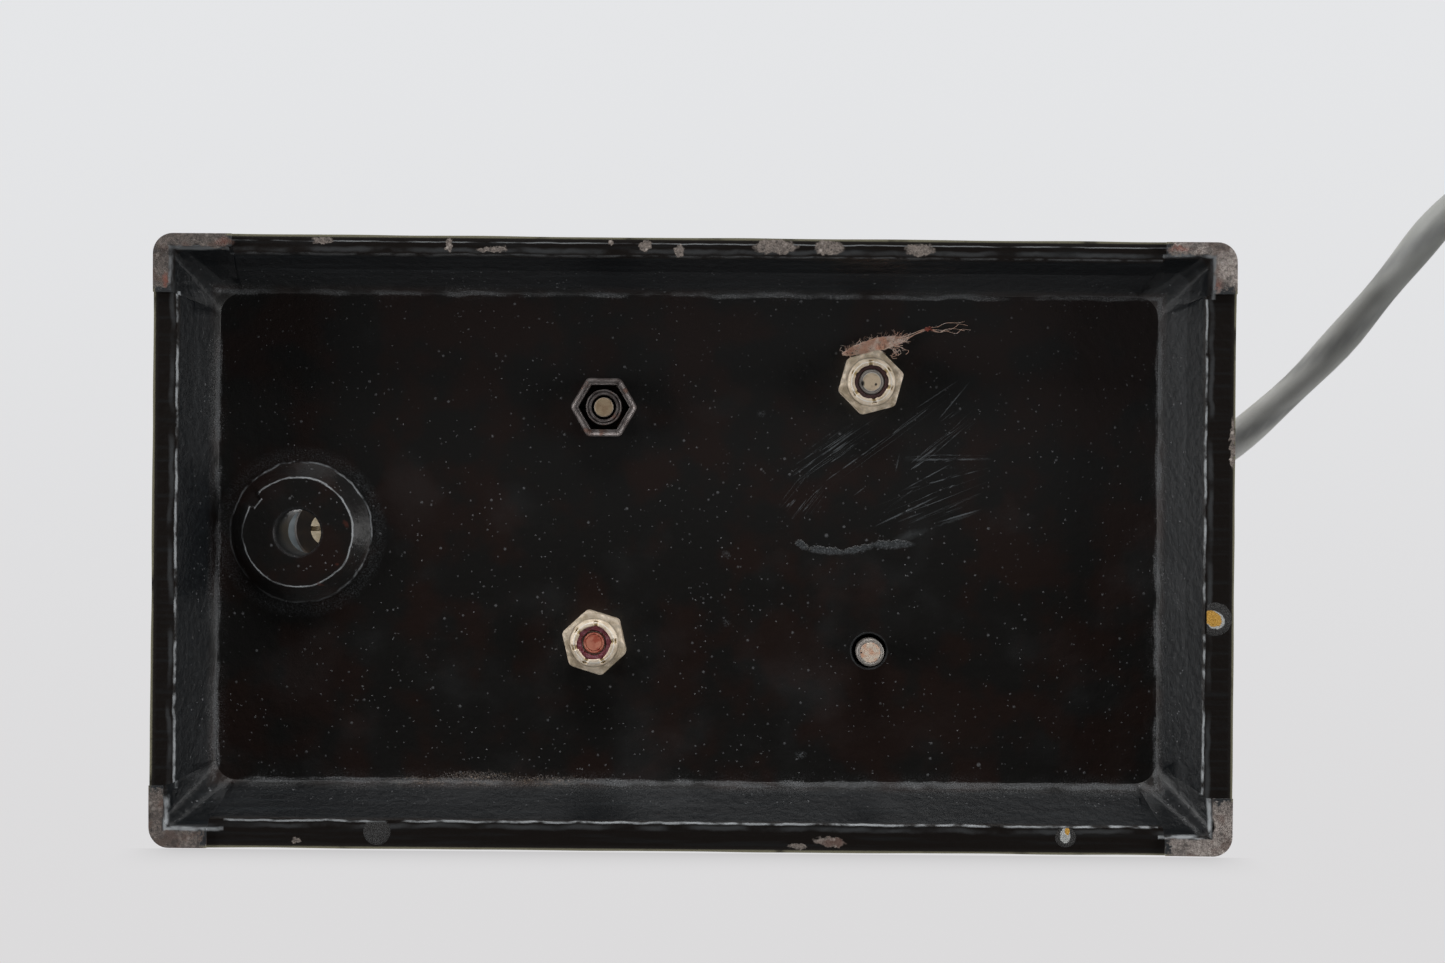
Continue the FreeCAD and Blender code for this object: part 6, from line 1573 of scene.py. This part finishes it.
def wrinkle_enamel():
    """Black wrinkle finish on the bedplate: a skin of fine worms, glossy on top and dusty between."""
    material, node, shader, point = new_finish("black_wrinkle_enamel")
    worms = node("TexNoise", {"Vector": point, "Scale": 0.9, "Detail": 2, "Distortion": 1.6})
    ridge = hairline(node, plus(node, worms, -0.5), 0.06)
    dust = but_not(node, blotches(node, point, 14, 0.4, 0.75), ridge)
    colour = layered(node, "#1d1e20", (both(node, dust, 0.5), "#4a4945"))
    colour = layered(node, colour, (both(node, ridge, 0.3), "#303236"))
    rough = node("MapRange", {0: ridge, 3: 0.55, 4: 0.3})
    relief = node("Bump", {"Height": ridge, "Distance": 0.14 * MM})
    plug(shader, {"Base Color": colour, "Roughness": rough, "Normal": relief})
    return material


def hammered_enamel():
    """Grey hammer finish on the lamp: shallow round dimples with a metallic glint, chipped in places."""
    material, node, shader, point = new_finish("grey_hammered_enamel")
    dimple = node("TexVoronoi", {"Vector": point, "Scale": 1 / 2.2}, out="Distance", feature="SMOOTH_F1")
    fine = node("TexNoise", {"Vector": point, "Scale": 3.0, "Detail": 4})
    chip = blotches(node, point, 3.0, 0.66, 0.7, 6)
    grime = blotches(node, point, 12, 0.45, 0.7)
    colour = layered(node, "#727a7e", (node("MapRange", {0: dimple, 1: 0.3, 2: 0.75}), "#8f979a"))
    colour = layered(node, colour, (both(node, grime, 0.35), "#5b5c59"), (chip, "#4a4038"))
    rough = plus(node, node("MapRange", {0: fine, 3: 0.26, 4: 0.4}), both(node, chip, 0.3))
    relief = node("Bump", {"Height": dimple, "Distance": 0.3 * MM, "Strength": 0.7})
    plug(shader, {"Base Color": colour, "Roughness": rough, "Normal": relief, "Metallic": 0.25})
    return material


def red_lacquer():
    """Signal-red lacquer brushed over the magnet's steel leaves: their joints show as dark lines."""
    material, node, shader, point = new_finish("red_magnet_lacquer")
    height = node("SeparateXYZ", {0: point}, out=2)
    leaf = node("Math", {0: both(node, height, 1 / 3)}, operation="FRACT")
    joint = hairline(node, plus(node, leaf, -0.5), 0.05)
    fine = node("TexNoise", {"Vector": point, "Scale": 1.2, "Detail": 5})
    chip = blotches(node, point, 3.4, 0.64, 0.68, 6)
    colour = layered(node, "#8f241a", (both(node, fine, 0.6), "#6e1a14"), (both(node, joint, 0.7), "#3c100d"))
    colour = layered(node, colour, (chip, "#55504c"))
    rough = plus(node, node("MapRange", {0: fine, 3: 0.22, 4: 0.42}), both(node, chip, 0.2))
    relief = node("Bump", {"Height": plus(node, fine, both(node, joint, -1.0)), "Distance": 0.1 * MM})
    plug(shader, {"Base Color": colour, "Roughness": rough, "Normal": relief})
    return material


def moulded(name, base, shade, bloom, rough, size, depth):
    """A moulded or turned insulator: its mottle, a bloom of age in patches, and fine scratches."""
    material, node, shader, point = new_finish(name)
    flow = node("TexNoise", {"Vector": point, "Scale": 1 / size, "Detail": 5, "Distortion": 0.8})
    worn = blotches(node, point, 6, 0.5, 0.72, 5)
    _, gloss, relief = grained(node, point, 4.0, depth, (rough, rough + 0.15), 5)
    score = both(node, scored_lines(node, point, 25), blotches(node, point, 7))
    colour = layered(node, base, (node("MapRange", {0: flow, 1: 0.35, 2: 0.65}), shade))
    colour = layered(node, colour, (both(node, worn, 0.45), bloom), (both(node, score, 0.25), bloom))
    gloss = plus(node, gloss, both(node, worn, 0.12))
    plug(shader, {"Base Color": colour, "Roughness": gloss, "Normal": relief})
    return material


def dial_enamel():
    """Baked cream enamel on the dial: glossy, yellowed towards its rim, with a few hairline crazes."""
    material, node, shader, point = new_finish("cream_dial_enamel")
    away, _ = off_axis(node, point, (*DRUM_AT, 0))
    craze = node("TexVoronoi", {"Vector": point, "Scale": 1 / 11}, out="Distance", feature="DISTANCE_TO_EDGE")
    craze = both(node, hairline(node, craze, 0.005), blotches(node, point, 20, 0.45, 0.6))
    fine, rough, relief = grained(node, point, 0.8, 0.05, (0.18, 0.3), 4, 0.5, 0.4)
    age = plus(node, node("MapRange", {0: away, 1: 24, 2: 42, 3: 0.1, 4: 0.8}), both(node, fine, 0.25))
    colour = layered(node, "#e2dac6", (age, "#cdbe99"), (both(node, craze, 0.35), "#8d8168"))
    colour = layered(node, colour, (both(node, flecks(node, point, 7, 0.22, 0.2), 0.5), "#7c6a4c"))
    plug(shader, {"Base Color": colour, "Roughness": rough, "Normal": relief})
    return material


def clear_glass():
    """Old clear glass: faintly green, with a thin film of dust that blurs it here and there."""
    material, node, shader, point = new_finish("clear_soda_glass")
    smear = blotches(node, point, 13, 0.45, 0.8)
    plug(shader, {"Base Color": "#f2f7f4", "Roughness": node("MapRange", {0: smear, 3: 0.01, 4: 0.06})})
    plug(shader, {"Transmission Weight": 1.0, "IOR": 1.5})
    return material


def wound_wire():
    """Enamelled copper wire in close turns, drawn 0.35 mm thick so that the turns can be seen, with painted
    shade between them.
    """
    material, node, shader, point = new_finish("enamelled_copper_wire")
    depth = node("SeparateXYZ", {0: point}, out=1)
    turns = both(node, plus(node, depth, -PIVOT[1]), TURN / 0.35)
    # Painted shade: dark between the turns and lighter on their crests.
    groove = node("MapRange", {0: node("Math", {0: turns}, operation="SINE"), 1: -1, 2: 0.4})
    fine = node("TexNoise", {"Vector": point, "Scale": 1.1, "Detail": 4})
    colour = layered(node, "#4b1a0e", (groove, "#9a4522"), (both(node, fine, 0.4), "#6d2b16"))
    relief = node("Bump", {"Height": groove, "Distance": 0.12 * MM})
    plug(shader, {"Base Color": colour, "Roughness": 0.25, "Normal": relief, "Metallic": 0.4})
    return material


def cork_sheet():
    """Pressed cork: brown crumbs of bark with dark joints."""
    material, node, shader, point = new_finish("pressed_cork")
    crumb = node("TexVoronoi", {"Vector": point, "Scale": 1.2}, out="Color")
    gap = node("TexVoronoi", {"Vector": point, "Scale": 1.2}, out="Distance", feature="DISTANCE_TO_EDGE")
    tone = node("SeparateXYZ", {0: crumb}, out=0)
    joint = node("MapRange", {0: gap, 1: 0.08, 2: 0.02})
    colour = layered(node, "#a5794b", (tone, "#8a5f38"), (joint, "#4f331d"))
    relief = node("Bump", {"Height": gap, "Distance": 0.1 * MM})
    plug(shader, {"Base Color": colour, "Roughness": 0.85, "Normal": relief})
    return material


def printing_ink():
    """Black printing ink on the dial: flat, slightly starved in places."""
    material, node, shader, point = new_finish("dial_ink")
    thin = blotches(node, point, 0.8, 0.5, 0.75)
    colour = layered(node, "#17140f", (both(node, thin, 0.5), "#463e30"))
    plug(shader, {"Base Color": colour, "Roughness": 0.55})
    return material


def dressed(nodes, material):
    """Gives carried-over nodes their finish."""
    for name in nodes:
        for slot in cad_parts[name].material_slots:
            slot.material = material


for centre, along, pieces in TURNED_BRASS:
    for piece_name in pieces.split():
        dressed([piece_name], lacquered_brass(piece_name, centre, along))
for metal, (tones, grain, pieces) in METALS.items():
    dressed(pieces.split(), worked_metal(metal, tones, grain))
dressed(["instrument_bedplate"], wrinkle_enamel())
dressed(["lamp_cradle", "lamp_house", "lamp_cap"], hammered_enamel())
dressed(["magnet_laminations"], red_lacquer())
dressed(["dial_plate"], dial_enamel())
dressed(["dial_glass", "lamp_bulb", "lamp_lens"], clear_glass())
dressed(["coil_winding"], wound_wire())
dressed(["glass_gasket"], cork_sheet())
# Ebonite: turned hard rubber, black going brown where light has reached it.
ebonite = moulded("aged_ebonite", "#171412", "#211a15", "#4a3a28", 0.3, 3.0, 0.02)
dressed(["zero_knob", "terminal_bushes", "lampholder_bush"], ebonite)
# Contact screw: brass gone dull and chalky, so that it shows cream rather than bright.
dressed(["contact_screw"], moulded("chalky_tarnished_brass", "#c4b7a0", "#a69a82", "#857660", 0.5, 1.2, 0.03))
# Black rubber: matt, with the grey bloom that old rubber has.
dressed(["strain_relief"], moulded("black_rubber", "#1b1b1b", "#242423", "#55534d", 0.6, 2.0, 0.08))
# The pointer's aluminium is painted a flat black, rubbed grey at its tip and edges.
dressed(["pointer"], moulded("blackened_aluminium", "#161617", "#1e1e20", "#6c6d6f", 0.45, 1.5, 0.02))
for name in ("dial_glass", "lamp_bulb", "lamp_lens"):
    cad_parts[name].visible_shadow = False


# ------------------------------------------------------------------ dial scale

SCALE_SPREAD = 40
SCALE_MOST = 30
SCALE_INNER = 41.2
NUMBERS_AT = 46.9
NUMBER_HIGH = 4.2
NUMBERS_LOWER = 1.2
INK_THICK = 0.04
ARC_WIDE = 0.3
ARC_GAP = 0.9
# The length and width of the stroke at every tenth, fifth and single division.
STROKES = [(10, (3.2, 0.55)), (5, (2.3, 0.38)), (1, (1.5, 0.28))]


def on_scale(value, radius):
    """Where a scale value lies: its place on the dial, turned so that +Y points away from the pivot."""
    turn = Matrix.Rotation(-math.radians(SCALE_SPREAD * value / SCALE_MOST), 4, "Z")
    return Matrix.Translation((*PIVOT, DIAL_TOP)) @ turn @ Matrix.Translation((0, radius, 0))


def scale_number(value):
    """The figure at one of the tenth divisions, in its place, extruded as thin as the ink."""
    text = bpy.data.curves.new("digits", "FONT")
    text.body = str(abs(value))
    text.align_x = "CENTER"
    text.size = NUMBER_HIGH * MM
    text.extrude = INK_THICK / 2 * MM
    text.resolution_u = 3
    text.offset = 0.12 * MM
    holder = bpy.data.objects.new("digits", text)
    digits = bpy.data.meshes.new_from_object(holder)
    bpy.data.objects.remove(holder)
    place = on_scale(value, NUMBERS_AT - NUMBERS_LOWER)
    place.translation *= MM
    digits.transform(place)
    return digits


def dial_scale():
    """The printed scale, thirty to thirty in single divisions, with its double arc and numbers."""
    bm = bmesh.new()
    for value in range(-SCALE_MOST, SCALE_MOST + 1):
        long, wide = next(size for every, size in STROKES if value % every == 0)
        stroke = on_scale(value, SCALE_INNER + long / 2) @ Matrix.Diagonal((wide, long, INK_THICK, 1))
        bmesh.ops.create_cube(bm, size=1, matrix=stroke)
    for radius in (SCALE_INNER, SCALE_INNER - ARC_GAP):
        start = on_scale(-SCALE_MOST, radius) @ Matrix.Rotation(math.pi / 2, 4, "Y")
        start = start @ Matrix.Diagonal((INK_THICK, ARC_WIDE, 1, 1))
        section = bmesh.ops.create_grid(bm, x_segments=1, y_segments=1, size=0.5, matrix=start)
        face = section["verts"][0].link_faces[0]
        about = {"cent": (*PIVOT, 0), "axis": UP, "angle": -2 * math.radians(SCALE_SPREAD), "steps": 72}
        bmesh.ops.spin(bm, geom=[face], **about)
    bmesh.ops.scale(bm, vec=(MM, MM, MM), verts=bm.verts)
    for value in range(-SCALE_MOST, SCALE_MOST + 1, 10):
        bm.from_mesh(scale_number(value))
    mesh = bpy.data.meshes.new("printed_scale")
    bmesh.ops.recalc_face_normals(bm, faces=bm.faces)
    bm.to_mesh(mesh)
    bm.free()
    mesh.materials.clear()
    return placed("printed_scale", mesh, [printing_ink()], "case")


dial_scale()


# ------------------------------------------------------------------ light, floor and backdrop

TABLE_HALF = 2500
# Each light's place, its side in millimetres and its power in watts.
LIGHTS = {
    "left_light": ((900, 60, -260), 500, 5.6),
    "right_light": ((-900, 40, -260), 500, 4.8),
    "back_light": ((0, 900, -280), 500, 6.5),
    "front_light": ((0, -900, -260), 600, 1.6),
    "high_light": ((300, -500, 900), 500, 12),
}
# The sheet that takes the shadow: its half length and half height, and the place of its middle.
SHADE_HALF = (125, 20)
SHADE_AT = (0, -57.7, -20)


def backdrop():
    """A pale room: even grey where the camera looks, dark behind it, bright all round and above."""
    world = bpy.data.worlds.new("pale_room")
    bpy.context.scene.world = world
    world.use_nodes = True
    tree = world.node_tree
    node = functools.partial(add, tree)
    direction = node("TexCoord", out="Generated")
    lift, height = (node("SeparateXYZ", {0: direction}, out=axis) for axis in (1, 2))
    bright = {0: height, 1: -0.75, 2: -0.1, 3: 0.015, 4: 0.45}
    bright = node("MapRange", bright, interpolation_type="SMOOTHSTEP")
    seen = node("LightPath", out="Is Camera Ray")
    sweep = node("MapRange", {0: lift, 1: -0.16, 2: 0.17}, interpolation_type="SMOOTHSTEP")
    sweep = layered(node, "#dcdbdc", (sweep, "#e5e6e8"))
    pale = layered(node, bright, (seen, sweep))
    plug(tree.nodes["Background"], {"Color": pale, "Strength": 1.0})


def soft_light(name, place, wide, power):
    """A white area light aimed at the middle of the instrument, which the camera doesn't see."""
    light = bpy.data.lights.new(name, "AREA")
    light.shape = "SQUARE"
    light.size = wide * MM
    light.energy = power
    lamp = bpy.data.objects.new(name, light)
    bpy.context.scene.collection.objects.link(lamp)
    lamp.location = Vector(place) * MM
    lamp.rotation_euler = (Vector((0, 0, 30)) - Vector(place)).to_track_quat("-Z", "Y").to_euler()
    lamp.visible_camera = False


def set_out(name, bm, material):
    """A sheet beside the object and not part of it: the camera sees it, and no other ray does."""
    bmesh.ops.scale(bm, vec=(MM, MM, MM), verts=bm.verts)
    mesh = bpy.data.meshes.new(name)
    bm.to_mesh(mesh)
    bm.free()
    mesh.materials.append(material)
    sheet = bpy.data.objects.new(name, mesh)
    bpy.context.scene.collection.objects.link(sheet)
    for ray in ("diffuse", "glossy", "transmission", "shadow", "volume_scatter"):
        setattr(sheet, "visible_" + ray, False)


def floor():
    """A pale table top, which shows only from above."""
    bm = bmesh.new()
    bmesh.ops.create_grid(bm, x_segments=1, y_segments=1, size=TABLE_HALF)
    material, node, shader, point = new_finish("pale_table")
    tone = blotches(node, point, 120, 0.3, 0.7)
    plug(shader, {"Base Color": layered(node, "#dcdcdc", (tone, "#e2e2e2")), "Roughness": 0.6})
    below = node("NewGeometry", out="Backfacing")
    clear = node("BsdfTransparent")
    both_sides = node("MixShader", {0: below, 1: shader.outputs[0], 2: clear})
    plug(material.node_tree.nodes["Material Output"], {"Surface": both_sides})
    set_out("table_top", bm, material)


def contact_shadow():
    """The soft shadow on the surface that the base's front edge rests on in the view from under it.
    The surface has the backdrop's tone, so only its shadow is made, and it shows from one side."""
    bm = bmesh.new()
    bmesh.ops.create_grid(bm, x_segments=1, y_segments=1, size=1)
    bmesh.ops.scale(bm, vec=(*SHADE_HALF, 1), verts=bm.verts)
    bmesh.ops.rotate(bm, cent=(0, 0, 0), matrix=Matrix.Rotation(-math.pi / 2, 3, "X"), verts=bm.verts)
    bmesh.ops.translate(bm, vec=SHADE_AT, verts=bm.verts)
    material, node, shader, point = new_finish("soft_contact_shadow")
    x, z = (node("SeparateXYZ", {0: point}, out=axis) for axis in (0, 2))
    near = node("MapRange", {0: z, 1: -38.0, 2: 6.0})
    near = node("Math", {0: near, 1: 2.6}, operation="POWER")
    beside = node("Math", {0: x}, operation="ABSOLUTE")
    beside = node("MapRange", {0: beside, 1: 107.0, 2: 94.0}, interpolation_type="SMOOTHSTEP")
    shade = but_not(node, both(node, near, beside, 0.3), node("NewGeometry", out="Backfacing"))
    plug(shader, {"Base Color": "#000000", "Roughness": 1.0, "Specular IOR Level": 0.0, "Alpha": shade})
    set_out("contact_shadow", bm, material)


backdrop()
floor()
contact_shadow()
for name, (place, wide, power) in LIGHTS.items():
    soft_light(name, place, wide, power)
bpy.context.scene.view_settings.view_transform = "Standard"
